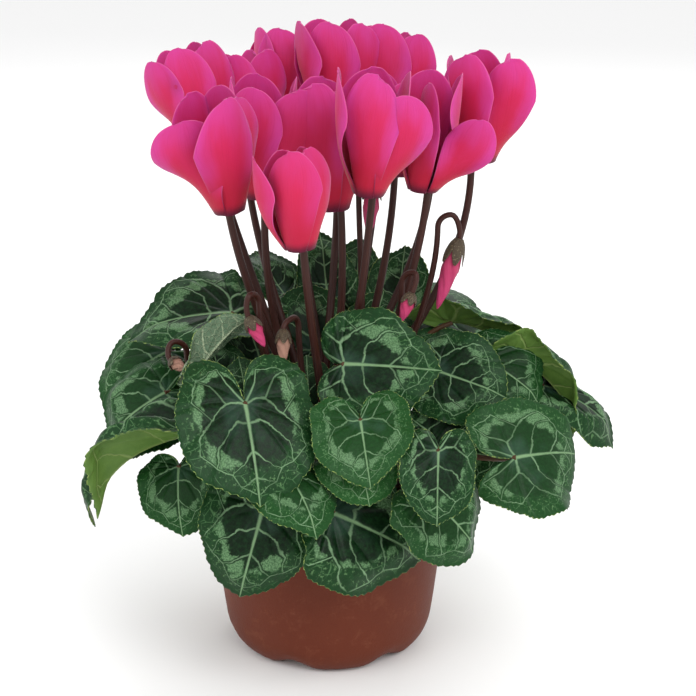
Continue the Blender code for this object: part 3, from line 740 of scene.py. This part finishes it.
def petal_skin(name, low, high):
    """A petal: maroon at the throat, crimson below, pink above, lilac at its rims."""
    g = Graph(name, 0.6, 0.15)
    up, across, seed = g.three("flat")
    young = g.three("span")[0]
    cloud = g.noise(g.vector(up * 2.0, across * 1.2, seed), 1.6, 2.0) - 0.5
    fan = across / (up + 0.35)
    streak = g.noise(g.vector(up * 1.5, fan * 16.0, seed), 1.6, 3.0, 0.6)
    base = g.mix(g.step(up + cloud * 0.30, 0.12, 0.75), low, high)
    edge = g.math("MAXIMUM", abs(across), up * 1.6 - 0.66) + cloud * 0.4
    lilac = g.step(edge, 0.30, 1.05) * g.step(up, 0.20, 0.6)
    base = g.mix(lilac * 0.85, base, "c03e90")
    base = g.mix(g.step(streak, 0.52, 0.72) * 0.16, base, "960f3c")
    base = g.mix(young * 0.45, base, "bc2246")
    base = g.mix(g.fade(up + streak * 0.05, 0.075, 0.19) * 0.95, base, "481028")
    g.bump(streak, 0.2 * MM, 0.5)
    g.fill(g.shader, {
        "Subsurface Weight": 0.22, "Subsurface Radius": (1.0, 0.30, 0.45), "Subsurface Scale": 2.5 * MM,
        "Sheen Weight": 0.15, "Sheen Roughness": 0.4,
    })
    return g.finish(base)


def bud_skin(name, low, high, streaks):
    """Furled petals of a bud, from its neck to its tip, with pale streaks."""
    g = Graph(name, 0.5, 0.2)
    up, across, seed = g.three("flat")
    streak = g.noise(g.vector(up, across * 3.0, seed), 4.0, 3.0)
    g.bump(streak, 0.2 * MM)
    return g.finish(g.mix(streak * 0.5, g.mix(g.step(up, 0.3, 0.9), low, high), streaks))


def petal_edge():
    """The thin bright edge of a petal."""
    g = Graph("petal_edge", 0.5, 0.3)
    up, across, seed = g.three("flat")
    g.bump(g.noise(g.vector(up, across, seed), 30.0), 0.1 * MM)
    return g.finish(g.mix(g.step(up, 0.1, 0.5), "7a1a3c", "c44a86"))


def sepal_skin():
    """Calyx: mottled brown-green with pale streaks."""
    g = Graph("calyx_skin", 0.5, 0.35)
    share, across, seed = g.three("flat")
    streak = g.noise(g.vector(share, across * 6.0, seed), 3.0, 4.0, 0.7)
    mottle = g.noise(g.place(), 1500.0, 3.0, 0.7)
    base = g.mix(g.step(streak, 0.38, 0.66), "2c1d16", "564a33")
    g.bump(streak, 0.25 * MM)
    return g.finish(g.mix(g.step(mottle, 0.56, 0.68) * 0.7, base, "948a6c"))


def anther_skin():
    """Anthers in the throat: dusty yellow."""
    g = Graph("anther", 0.7, 0.2)
    grain = g.noise(g.place(), 3000.0, 3.0)
    g.bump(grain, 0.15 * MM)
    return g.finish(g.mix(grain, "b98a2c", "e2c469"))


def pot_plastic():
    """Moulded terracotta-coloured plastic: fine grain, faint dust and scuffs."""
    g = Graph("moulded_pot_plastic", 0.55, 0.16)
    place = g.place()
    grain = g.noise(place, 900.0, 3.0, 0.7)
    dirt = g.noise(place, 90.0, 5.0, 0.75, 0.4)
    base = g.mix(g.noise(place, 22.0, 4.0, 0.6), "5a2616", "67301e")
    base = g.mix(g.step(dirt, 0.52, 0.72) * 0.35, base, "7c4833")
    base = g.mix(g.step(grain, 0.60, 0.72) * 0.30, base, "4a2118")
    g.bump(grain + dirt * 0.5, 0.18 * MM, 0.7)
    return g.finish(base, Roughness=dirt * 0.25 + 0.42)


def peat():
    """Damp peat with paler fibres."""
    g = Graph("damp_peat", 0.85, 0.25)
    clods = g.noise(g.place(), 260.0, 5.0, 0.75)
    fibre = g.cells(g.place(), 420.0, "F1")
    g.bump(clods + fibre * 0.4, 0.9 * MM)
    return g.finish(g.mix(g.step(fibre, 0.55, 0.75) * 0.35, g.mix(clods, "120b07", "3d2a1c"), "6a5138"))


def cork():
    """The tuber's cracked skin."""
    g = Graph("tuber_cork", 0.8, 0.25)
    cracks = g.cells(g.place(), 300.0)
    rough = g.noise(g.place(), 400.0, 4.0, 0.7)
    g.bump(g.step(cracks, 0.0, 0.2) + rough, 0.6 * MM)
    return g.finish(g.mix(g.step(cracks, 0.0, 0.12), "1d120b", g.mix(rough, "3a2618", "75573c")))


# ---------------------------------------------------------------- the plant's frame

def tuber_height(radius, grow=0.0):
    """Half height of the tuber at this distance from its axis."""
    share = min(1.0, radius / (TUBER_RADIUS + grow))
    return (TUBER_HALF_HEIGHT + grow) * math.sqrt(1 - share * share)


def root_on_tuber(radius, turn):
    """Where a stalk stands on the tuber, and the tuber's slope there."""
    height = tuber_height(radius)
    normal = unit(around(UPRIGHT, radius / TUBER_RADIUS ** 2, turn, height / TUBER_HALF_HEIGHT ** 2))
    return around(UPRIGHT, radius, turn, TUBER_LEVEL + height) + normal * 2 * GAP, normal


def spaced_roots(entries):
    """Places round each ring, each as near its stalk's direction as its neighbours allow."""
    turns = {}
    for ring, radius in ROOT_RINGS.items():
        members = [k for k, entry in enumerate(entries) if entry[0] == ring]
        for k in members:
            turns[k] = math.atan2(entries[k][1][1], entries[k][1][0])
        members.sort(key=turns.get)
        pitch = 2 * math.asin(min(0.9, ROOT_PITCH[ring] / radius / 2))
        for _ in range(SPACING_ROUNDS):
            for here, k in enumerate(members):
                other = members[(here + 1) % len(members)]
                close = pitch - ((turns[other] - turns[k] + math.pi) % (2 * math.pi) - math.pi)
                if close > 0:
                    turns[k] -= close / 2
                    turns[other] += close / 2
    return [root_on_tuber(ROOT_RINGS[entry[0]], turns[k]) for k, entry in enumerate(entries)]


# ---------------------------------------------------------------- leaves

def leaf_outline(turn):
    """Distance from the hub to the margin, as a share of hub to tip."""
    tip = TIP_POINT * np.exp(-np.abs(turn) / TIP_SPREAD)
    body = LEAF_SIDE + (1 - TIP_POINT - LEAF_SIDE) * np.exp(-turn * turn) + tip
    past = np.maximum(0, np.abs(turn) - LOBE_START) / (SINUS - LOBE_START)
    return body * np.sqrt(1 - (LOBE_ROUND * past) ** 2)


class Leaf:
    """The shape of one leaf: its frame, its blade and its stalk."""

    def __init__(self, number, ring, hub, tip, roll, width, bow, cup, fold, lobe):
        self.ring = ring
        self.hub = np.array(hub, float) * MM
        to_tip = np.array(tip, float) * MM - self.hub
        self.length = float(np.linalg.norm(to_tip))
        self.along = to_tip / self.length
        facing = unit(UP - self.along * UP.dot(self.along))
        self.normal = spokes(self.along, facing, math.radians(roll))
        self.across = np.cross(self.normal, self.along)
        self.width = width
        self.bow = bow
        self.cup = cup
        self.fold = math.radians(fold)
        self.lobe = lobe
        draw = np.random.default_rng(500 + number)
        self.phase = draw.uniform(0, 2 * math.pi, 6)
        self.ruffle = draw.uniform(0.024, 0.046)
        self.curl = draw.uniform(-0.12, 0.02)
        self.twist = draw.uniform(-0.16, 0.16)
        self.flap = draw.uniform(-0.20, 0.20)

    def blade(self, share, turn):
        """Points of the blade, and its own flat coordinates."""
        saw = 1 - np.mod((turn / SINUS + 1) / 2 * TEETH, 1.0)
        edge = 1 + TOOTH_DEPTH * (saw - 0.5) * smoothstep(share, 0.9, 1.0)
        edge = edge + 0.026 * np.sin(4 * turn + self.phase[4]) + 0.020 * np.sin(7 * turn + self.phase[5])
        reach = leaf_outline(turn) * share * edge
        u = reach * np.cos(turn)
        v = reach * np.sin(turn) * self.width
        u = np.where(u < 0, u * self.lobe, u)
        behind = np.minimum(0, u)
        sector = turn * (1 + VEIN_ARCH * reach) / VEIN_SPACING
        off = np.abs(sector - np.round(sector)) * VEIN_SPACING * reach
        rise = 4 * self.bow * u * (1 - np.maximum(0, u)) + self.cup * (v * v + behind ** 2)
        rise = rise + np.sqrt(v * v + FOLD_ROUND ** 2) * math.sin(self.fold)
        rise = rise - GROOVE_DEPTH * np.exp(-(off / GROOVE_WIDTH) ** 2) * smoothstep(share, 0.05, 0.3)
        rise = rise + self.twist * u * v + self.flap * v * behind
        wave = np.sin(3 * turn + self.phase[0]) + 0.8 * np.sin(5 * turn + self.phase[1])
        wave = wave + 0.5 * np.sin(9 * turn + self.phase[2])
        rise = rise + self.ruffle * wave * share ** 3
        rise = rise + self.curl * smoothstep(share, 0.72, 1.0) * (1 + 0.6 * np.sin(2 * turn + self.phase[3]))
        offset = joined(u, v * math.cos(self.fold), rise) @ np.array((self.along, self.across, self.normal))
        return self.hub + offset * self.length, u, v

    def petiole(self, foot, slope):
        """The stalk's curve from the tuber to just through the hub."""
        outward = unit(self.hub * (1, 1, 0))
        arrive = self.normal * 0.5 + self.along * 0.35
        arrive = unit(arrive + outward * 0.45 * max(0.0, outward.dot(self.normal)))
        end = self.hub + arrive * HUB_BOSS * 0.3
        span = np.linalg.norm(end - foot)
        start = foot + slope * span * STEEPNESS[self.ring]
        return curve(foot, start, end - arrive * span / 3, end, PETIOLE_STEPS)


def make_leaf(number, entry, root, node, looks):
    """One leaf: toothed, quilted blade with its stalk."""
    leaf = Leaf(number, *entry)
    turns = np.linspace(-SINUS, SINUS, TEETH * (TOOTH_STEPS if node else TOOTH_STEPS - 1) + 1)
    shares = np.concatenate([np.linspace(0.06, 0.9, 15), [0.94, 0.975, 1.0]])
    share, turn = grid_of(shares, turns)
    grid, u, v = leaf.blade(share, turn)
    points, faces, sides, source = sheet(grid, BLADE_THICK, leaf.hub, leaf.normal)
    seed = number * 3.7
    flat = joined(np.append(u, 0), np.append(v, 0), seed)
    span = joined(np.append(share, 0), BRIGHT_LEAVES.get(number, 0.0), 0)
    body = Body()
    body.add(points, faces, sides, flat[source], span[source])
    path = leaf.petiole(*root)
    body.add_tube(path, PETIOLE_RADIUS * np.linspace(1.1, 0.8, len(path)), PETIOLE_SIDES, LEAF_STALK, seed)
    finishes = looks["young leaf" if number in YOUNG_LEAVES else "leaf"]
    body.piece(f"blade_and_stalk_{number:02d}", finishes, node and f"leaf_{number:02d}")


# ---------------------------------------------------------------- flowers

def petal_spread(rise):
    """Half width of a petal along its rise, as a share of the widest."""
    widening = PETAL_CLAW + (1 - PETAL_CLAW) * np.minimum(1, rise / PETAL_WIDEST) ** 0.9
    past = np.clip((rise - PETAL_WIDEST) / (1 - PETAL_WIDEST), 0, 0.9995)
    return widening * np.sqrt(1 - past ** 1.9)


def petal_shares():
    """Rows up a petal: close together at its folded base and round its tip."""
    base = np.linspace(0, PETAL_BASE, 4)[:-1]
    body = np.linspace(0, PETAL_WIDEST, 17)[:-1]
    tip = PETAL_WIDEST + (1 - PETAL_WIDEST) * np.sin(np.linspace(0, math.pi / 2, 14))
    return np.concatenate([base, PETAL_BASE + (1 - PETAL_BASE) * np.concatenate([body, tip])])


class Flower:
    """The shape of one open flower: its frame, petals and stem."""

    def __init__(self, number, mouth, top, yaw, petals):
        mouth = np.array(mouth, float) * MM
        axis = np.array(top, float) * MM - mouth
        self.length = float(np.linalg.norm(axis))
        self.axis = axis / self.length
        self.side = unit(ASIDE - self.axis * ASIDE.dot(self.axis))
        self.frame = (mouth, self.axis, self.side)
        self.yaw = math.radians(yaw)
        shapes = np.array([(*petal, 1.0, 1.0)[:5] for petal in petals])
        self.petals = np.radians(shapes[:, :3])
        self.young = number == HALF_OPEN
        self.bow = 1.5 * PETAL_BOW if self.young else PETAL_BOW
        self.curve = 0.5 * FACE_CURVE if self.young else FACE_CURVE
        draw = np.random.default_rng(900 + number)
        self.reach = draw.uniform(0.97, 1.05, PETALS) * shapes[:, 3]
        self.width = PETAL_WIDTH * draw.uniform(0.94, 1.08, PETALS) * shapes[:, 4]
        self.skew = draw.uniform(-0.12, 0.12, PETALS)
        self.phase = draw.uniform(0, 2 * math.pi, (PETALS, 3))

    def midline(self, lean, rise):
        """How far out and up the middle of a petal is, as shares of its length, and its slope."""
        fine = np.linspace(0, 1, MIDLINE_STEPS + 1)
        slope = lean + self.bow * np.cos(math.pi * fine)
        results = []
        for part in (np.sin(slope), np.cos(slope)):
            reached = np.append(0, np.cumsum(part[1:] + part[:-1])) / (2 * MIDLINE_STEPS)
            results.append(np.interp(rise, fine, reached))
        return *results, np.interp(rise, fine, slope)

    def petal(self, number, share, across):
        """Points of a petal; share runs up it, and across from -1 to 1 over its width."""
        lean, swing, turn = self.petals[number]
        length = self.length * self.reach[number]
        flare = np.minimum(1, share / PETAL_BASE)
        rise = np.maximum(0, (share - PETAL_BASE) / (1 - PETAL_BASE))
        half = across * 0.5 * self.width[number] * length * petal_spread(rise)
        rise = rise + self.skew[number] * across * rise ** 2 * (1 - 0.5 * rise) * 0.5
        out, up, slope = self.midline(lean, np.clip(rise, 0, 1))
        out = THROAT_RADIUS - 1.0 * MM + BASE_FLARE * flare + length * out
        up = BASE_DROP * (0.5 - flare) + length * up
        opened = smoothstep(rise, 0.0, 0.6)
        twist = turn * smoothstep(rise, 0.08, 0.75) + 0.20 * smoothstep(rise, 0.0, 0.4)
        round_off = half ** 2 / (2 * (CLAW_CURVE + (self.curve - CLAW_CURVE) * opened))
        phase = self.phase[number]
        aside = across * petal_spread(rise)
        wave = np.sin(rise * 6 + phase[0]) + 0.6 * np.sin(rise * 11 + aside * 2 + phase[1])
        ruffle = 0.014 * length * wave * np.abs(aside) ** 2.5 * opened
        ruffle = ruffle + 0.012 * length * np.sin(aside * 2.4 + phase[2]) * opened - round_off
        sideways = half * np.cos(twist) - ruffle * np.sin(twist)
        outwards = half * np.sin(twist) + ruffle * np.cos(twist)
        angle = self.yaw + 2 * math.pi * number / PETALS + swing * rise
        points = around(self.frame, out + outwards * np.cos(slope), angle, up - outwards * np.sin(slope))
        return points + spokes(self.axis, self.side, angle + math.pi / 2) * sideways[..., None]

    def stem(self, foot, slope):
        """The stem's curve with its hook, and the radius along it."""
        gaps = [self.yaw + 2 * math.pi * (k + 0.5) / PETALS for k in range(PETALS)]
        turn = max(gaps, key=math.sin)
        low = around(self.frame, HOOK_REACH + GAP, turn, -2 * MM)
        span = np.linalg.norm(low - foot)
        path = curve(foot, foot + slope * span * 0.3, low - self.axis * span * 0.4, low, STEM_STEPS)
        radii = np.linspace(STEM_RADII[0], STEM_RADII[1], len(path))
        bend = TUBE_HEIGHT + HOOK_RISE
        half = HOOK_REACH / 2
        rising = around(self.frame, HOOK_REACH, turn, np.linspace(1.5 * MM, bend - 1 * MM, 4))
        swing = np.radians(np.linspace(10, 165, 9))
        arc = around(self.frame, half + half * np.cos(swing), turn, bend + half * np.sin(swing))
        end = around(self.frame, 0.0, turn, np.array((TUBE_HEIGHT + 1.2 * MM, TUBE_HEIGHT + 2 * GAP)))
        hook_radii = np.full(len(rising) + len(arc), STEM_RADII[2])
        path = np.vstack([path, rising, arc, end])
        return path, np.concatenate([radii, hook_radii, (2.3 * MM, CALYX_RADIUS * 0.9)])


def make_flower_stem(number, flower, root, node, finishes):
    """A flower's stem, with the five sepals that hold the corolla."""
    body = Body()
    body.add_tube(*flower.stem(*root), STEM_SIDES, STEM, number * 2.3)
    share, across = grid_of(np.linspace(0, 1, 9), np.linspace(-1, 1, 5))
    half = 2.0 * MM * np.sin(math.pi * (0.12 + share * 0.84)) ** 0.8 + 0.1 * MM
    radius = (1.6 + 2.6 * np.minimum(1, share * 2.2)) * MM
    height = TUBE_HEIGHT + (1.0 - 5.4 * np.maximum(0, share - 0.15)) * MM
    for k in range(PETALS):
        turn = flower.yaw + 2 * math.pi * (k + 0.5) / PETALS + across * half / np.maximum(radius, 2 * MM)
        grid = around(flower.frame, radius, turn, height)
        body.add_sheet(grid, SEPAL_THICK, joined(share, across, k), CALYX)
    name = f"stem_and_calyx_{number:02d}"
    body.piece(name, finishes, node and f"flower_stem_{number:02d}")


def make_corolla(number, flower, node, finishes):
    """Five petals, the tube between them and the anthers in its mouth."""
    body = Body()
    seed = number * 5.1
    share, across = grid_of(petal_shares(), np.linspace(-1, 1, PETAL_COLUMNS))
    for k in range(PETALS):
        flat = joined(share, across, seed + k * 1.9)
        body.add_sheet(flower.petal(k, share, across), PETAL_THICK, flat, span=(float(flower.young), 0, 0))
    turn = circle(TUBE_SIDES)
    radius, height = np.array(TUBE_PROFILE).T[..., None] * MM
    lobes = 1 + 0.10 * np.cos(PETALS * (turn - flower.yaw)) * smoothstep(radius, 3.3 * MM, THROAT_RADIUS)
    low = np.repeat(np.linspace(0.02, 0.1, len(TUBE_PROFILE)), TUBE_SIDES)
    body.add_round(around(flower.frame, radius * lobes, turn, height), TUBE, joined(low, 0.0, seed))
    for k in range(PETALS):
        turn = flower.yaw + 2 * math.pi * k / PETALS
        path = around(flower.frame, np.linspace(1.5, 0.7, 6) * MM, turn, np.linspace(5.6, -0.4, 6) * MM)
        body.add_tube(path, np.array((0.5, 0.8, 0.85, 0.8, 0.6, 0.15)) * MM, ANTHER_SIDES, ANTHERS)
    path = around(flower.frame, 0.0, 0.0, np.linspace(6.0, -2.2, 5) * MM)
    points, faces, _, _ = tube(path, np.array((0.4, 0.4, 0.35, 0.35, 0.45)) * MM, ANTHER_SIDES)
    body.add(points, faces, PISTIL, (0.4, 0, seed))
    body.piece(f"petals_{number:02d}", finishes, node and f"corolla_{number:02d}", sharp=60)


def make_flower(number, entry, root, node, looks):
    """One open flower: its stem with the calyx, and its corolla."""
    flower = Flower(number, *entry[1:])
    make_flower_stem(number, flower, root, node, looks["stem"])
    make_corolla(number, flower, node, looks["petal"])


# ---------------------------------------------------------------- buds

def bud_path(crook, neck, hang, foot, slope):
    """The bud's stalk: up from the tuber, over its crook and down to the neck."""
    over = unit((crook - foot) * (1, 1, 0))
    shoulder = crook - over * CROOK_REACH - UP * CROOK_REACH
    span = np.linalg.norm(shoulder - foot)
    turn_in = CROOK_REACH * 0.55
    path = curve(foot, foot + slope * span * 0.35, shoulder - UP * span * 0.3, shoulder, 30)
    rise = curve(shoulder, shoulder + UP * turn_in, crook - over * turn_in, crook, 8)[1:]
    fall = curve(crook, crook + over * turn_in, neck - hang * turn_in, neck, 8)[1:]
    return np.vstack([path, rise, fall])


def make_bud(number, entry, root, node, looks):
    """A bud: hooked stalk, five sepals and the petals furled round each other."""
    crook, neck, tip = [np.array(place, float) * MM for place in entry[1:4]]
    size = entry[4] * MM
    hang = unit(tip - neck)
    length = float(np.linalg.norm(tip - neck))
    frame = (neck, hang, unit(np.cross(hang, (0.2, 1.0, 0.1))))
    path = bud_path(crook, neck, hang, *root)
    body = Body()
    body.add_tube(path, BUD_STALK * np.linspace(1.15, 0.9, len(path)), STEM_SIDES, STEM, number * 2.9)
    share, turn = grid_of(np.linspace(0, 1, BUD_ROWS), circle(BUD_ROWS))
    swell = np.interp(share, *np.array(BUD_SWELL).T)
    fold = np.mod((turn + share * BUD_TWIST) * PETALS / (2 * math.pi), 1.0)
    flat = joined((0.25 + 0.7 * share).ravel(), (fold * 2 - 1).ravel(), number * 1.7)
    body.add_round(around(frame, size * swell * (0.88 + 0.14 * fold), turn, share * length), FURLED, flat)
    share, across = grid_of(np.linspace(0, 1, 10), np.linspace(-1, 1, 7))
    calyx = min(0.42 * length, LONG_CALYX.get(number, CALYX_LENGTH))
    radius = size * np.interp(share, (0, 0.25, 0.6, 1.0), (0.40, 0.80, 1.02, 1.12)) + 0.15 * MM
    half = 0.62 * size * np.sin(math.pi * (0.30 + share * 0.68)) ** 0.7 + 0.05 * MM
    for k in range(PETALS):
        turn = 2 * math.pi * k / PETALS + across * half / radius
        grid = around(frame, radius, turn, share * calyx - 0.5 * MM)
        body.add_sheet(grid, SEPAL_THICK, joined(share, across, k + number), CALYX)
    finishes = looks["stem"] + [looks["pale bud" if number in PALE_BUDS else "pink bud"]]
    body.piece(f"hooked_bud_{number:02d}", finishes, node and f"bud_{number:02d}")


# ---------------------------------------------------------------- pot, soil and tuber

def arch_lift(turn):
    """How far the pot's underside is raised at this angle."""
    lift = 0.0
    for middle in ARCH_FIRST + circle(ARCHES):
        away = abs((turn - middle + math.pi) % (2 * math.pi) - math.pi)
        if away < ARCH_HALF:
            lift = ARCH_LIFT * math.cos(0.5 * math.pi * away / ARCH_HALF) ** 2
    return lift


def pot_profile(lift):
    """The pot's section from the middle of its underside, up the outside and down the inside, in mm."""
    high = POT_HEIGHT / MM
    rim = RIM_RADIUS / MM
    band = high - RIM_BAND / MM
    wall = WALL / MM
    floor = FLOOR / MM
    raised = lift / MM
    outside = [
        (0.02, 0), (15, 0), (FOOT_RADIUS / MM, 0), (36, raised * 0.75), (41, raised),
        (43.5, 1.2 + raised * 0.9), (45.4, 2.6 + raised * 0.75), (46.8, 4.2 + raised * 0.6),
        (48.2, 6.3 + raised * 0.45), (49.2, 8.5 + raised * 0.3),
        (50.1, 11), (50.8, 14), (52.3, 25), (53.6, 36), (55.1, 52), (56.6, 66),
        (rim - 2.5, band - 2.5), (rim - 2.2, band - 0.6), (rim - 1.9, band), (rim - 0.9, band + 0.3),
        (rim - 0.55, band + 0.9), (rim - 0.3, band + 6), (rim, high - 1.6), (rim - 0.1, high - 0.8),
        (rim - 0.6, high - 0.1), (rim - 1.1, high),
    ]
    inside = [
        (rim - 1.7, high - 0.1), (rim - 2.1, high - 0.6), (rim - 2.3, high - 2), (rim - 2.9, band + 3),
        (rim - 2.2 - wall, band - 1), (53.6 - wall, 36), (50.8 - wall, 14.5),
        (47.8 - wall, 9.5 + raised * 0.4), (43.5 - wall, 4.2 + raised * 0.8), (39.5, floor + raised),
        (29, floor), (0.02, floor),
    ]
    return outside + inside


def make_pot(finish):
    """The moulded pot with the drain slots in its floor."""
    turns = circle(POT_TURNS)
    radius, height = np.array([pot_profile(arch_lift(turn)) for turn in turns]).T * MM
    body = Body()
    body.add_round(around(UPRIGHT, radius, turns, height), 0)
    pot = body.piece("nursery_pot", [finish], "pot", sharp=40)
    for turn in ARCH_FIRST + circle(ARCHES):
        place = around(UPRIGHT, SLOT_RADIUS, turn, 0)
        bpy.ops.mesh.primitive_cube_add(size=1, location=tuple(place), rotation=(0, 0, turn))
        slot = bpy.context.active_object
        slot.scale = SLOT_SIZE
        bpy.context.view_layer.update()
        cut = pot.modifiers.new("slot", "BOOLEAN")
        cut.operation = "DIFFERENCE"
        cut.object = slot
        graph = bpy.context.evaluated_depsgraph_get()
        result = bpy.data.meshes.new_from_object(pot.evaluated_get(graph))
        pot.modifiers.clear()
        pot.data = result
        bpy.data.objects.remove(slot)
    pot.data.materials.clear()
    pot.data.materials.append(finish)


def make_soil(finish):
    """Crumbly soil: an uneven top, loose crumbs on it and the mass below."""
    body = Body()
    turns = circle(SOIL_TURNS)
    edge = RIM_RADIUS - 2.2 * MM - WALL - GAP - 0.6 * MM
    reach = math.sqrt(1 - ((SOIL_LEVEL + SOIL_DOME - TUBER_LEVEL) / TUBER_HALF_HEIGHT) ** 2)
    socket = TUBER_RADIUS * reach + 3 * GAP
    share = np.linspace(0, 1, SOIL_RINGS)[:, None]
    radii = np.linspace(socket, edge, SOIL_RINGS)[:, None]
    flat = around(UPRIGHT, radii, turns, 0.0)
    lumps = 0.5 * smooth_noise(flat, 31, size=420) + 0.3 * smooth_noise(flat, 32, size=1500)
    fade = smoothstep(share, 0.0, 0.08) * smoothstep(1 - share, 0.0, 0.05)
    top = SOIL_LEVEL + SOIL_DOME * (1 - share) - 0.6 * MM + lumps * MM * fade
    wall = [(0.02 * MM, TUBER_LEVEL - TUBER_HALF_HEIGHT - 2 * GAP)]
    for part in (0.3, 0.6, 0.86, 1.0):
        radius = (TUBER_RADIUS + 2 * GAP) * part
        wall.append((radius, TUBER_LEVEL - tuber_height(radius, 2 * GAP)))
    wall = np.array(wall).T[..., None]
    foot = np.array(SOIL_FOOT).T[..., None] * MM
    radius = np.vstack([wall[0], radii, [[edge]], foot[0]])
    height = np.vstack([np.broadcast_to(rows, (len(rows), SOIL_TURNS)) for rows in (
        wall[1], top, [[SOIL_LEVEL - 3 * MM]], foot[1])])
    body.add_round(around(UPRIGHT, radius, turns, height), 0)
    draw = np.random.default_rng(77)
    bpy.ops.mesh.primitive_ico_sphere_add(subdivisions=2, radius=1)
    ball = bpy.context.active_object
    shape = np.array([v.co for v in ball.data.vertices])
    faces = [tuple(p.vertices) for p in ball.data.polygons]
    bpy.data.objects.remove(ball)
    for k in range(CRUMBS):
        away = math.sqrt(draw.uniform((socket + 2 * MM) ** 2, (edge - 2.5 * MM) ** 2))
        turn = draw.uniform(0, 2 * math.pi)
        size = draw.uniform(0.5, 1.5) * MM
        level = SOIL_LEVEL + SOIL_DOME * (1 - (away - socket) / (edge - socket)) - 0.5 * MM
        knobs = 1 + 0.22 * smooth_noise(shape * 2.2, 100 + k, waves=5)[:, None]
        stretch = draw.uniform(0.6, 1.3, 3)
        body.add(shape * knobs * stretch * size + around(UPRIGHT, away, turn, level), faces, 0)
    body.piece("crumbly_soil", [finish], "soil", sharp=70)


def make_tuber(finish):
    """The flattened, knobbly tuber."""
    turns = circle(TUBER_TURNS)
    lean = np.linspace(-math.pi / 2 + 0.01, math.pi / 2 - 0.01, TUBER_ROWS)[:, None]
    knobs = smooth_noise(around(UPRIGHT, np.cos(lean), turns, np.sin(lean)), 5, size=6)
    scale = 1 - KNOB_DEPTH - KNOB_DEPTH * knobs
    radius = TUBER_RADIUS * np.cos(lean) * scale
    body = Body()
    body.add_round(around(UPRIGHT, radius, turns, TUBER_LEVEL + TUBER_HALF_HEIGHT * np.sin(lean) * scale), 0)
    body.piece("knobbly_tuber", [finish], "tuber", sharp=70)


# ---------------------------------------------------------------- stage

def aimed(name, data, place, target):
    """A lamp or camera in its place, looking at its target."""
    made = bpy.data.objects.new(name, data)
    made.location = place
    made.rotation_euler = (Vector(target) - Vector(place)).to_track_quat("-Z", "Y").to_euler()
    bpy.context.scene.collection.objects.link(made)
    return made


def make_stage():
    """Pale floor, soft studio light and the camera."""
    bpy.ops.mesh.primitive_plane_add(size=14, location=(0, 0, 0))
    floor = bpy.context.active_object
    floor.name = "studio_floor"
    floor.data.materials.append(Graph("pale_floor", 0.9, 0.2).finish((0.94, 0.94, 0.94, 1)))
    world = bpy.data.worlds.new("studio")
    world.use_nodes = True
    sky = world.node_tree.nodes["Background"].inputs
    sky["Color"].default_value = (1.0, 1.0, 1.0, 1)
    sky["Strength"].default_value = 0.95
    bpy.context.scene.world = world
    for name, place, size, power in SOFTBOXES:
        light = bpy.data.lights.new(name, "AREA")
        light.size = size
        light.energy = power
        aimed(name, light, place, LIGHT_AIM)
    camera = bpy.data.cameras.new("photo_camera")
    camera.lens = CAMERA_LENS
    camera.sensor_width = 36
    bpy.context.scene.camera = aimed("photo_camera", camera, CAMERA_PLACE, CAMERA_AIM)
    bpy.context.scene.view_settings.view_transform = "Standard"


# ---------------------------------------------------------------- everything

def plant_looks():
    """The materials of each kind of piece."""
    stalk = stalk_skin("petiole", "35190f", "4a3320", "5c3c28")
    rim = leaf_rim()
    young = young_leaf()
    inner = petal_skin("petal_inner_side", "8a0d24", "b41c4e")
    outer = petal_skin("petal_outer_side", "ae1836", "be2454")
    return {
        "leaf": [leaf_front(), leaf_back(), rim, stalk],
        "young leaf": [young, young, rim, stalk],
        "stem": [stalk_skin("flower_stalk", "2c110b", "35160f", "4e2519"), sepal_skin()],
        "petal": [inner, outer, petal_edge(), anther_skin()],
        "pale bud": bud_skin("pale_bud", "6d4a3c", "a87a6c", "c4a08a"),
        "pink bud": bud_skin("pink_bud", "a01e40", "b42a5e", "cc5c88"),
    }


def main():
    """Build every piece of the plant and its stage."""
    make_stage()
    make_pot(pot_plastic())
    make_soil(peat())
    make_tuber(cork())
    looks = plant_looks()
    roots = iter(spaced_roots(LEAVES + FLOWERS + BUDS))
    for make, entries, inner in (
            (make_leaf, LEAVES, INNER_LEAVES),
            (make_flower, FLOWERS, INNER_FLOWERS),
            (make_bud, BUDS, INNER_BUDS)):
        for number, entry in enumerate(entries, 1):
            make(number, entry, next(roots), True, looks)
        for number, (radius, turn, entry) in enumerate(inner, len(entries) + 1):
            make(number, entry, root_on_tuber(radius * MM, math.radians(turn)), False, looks)


main()
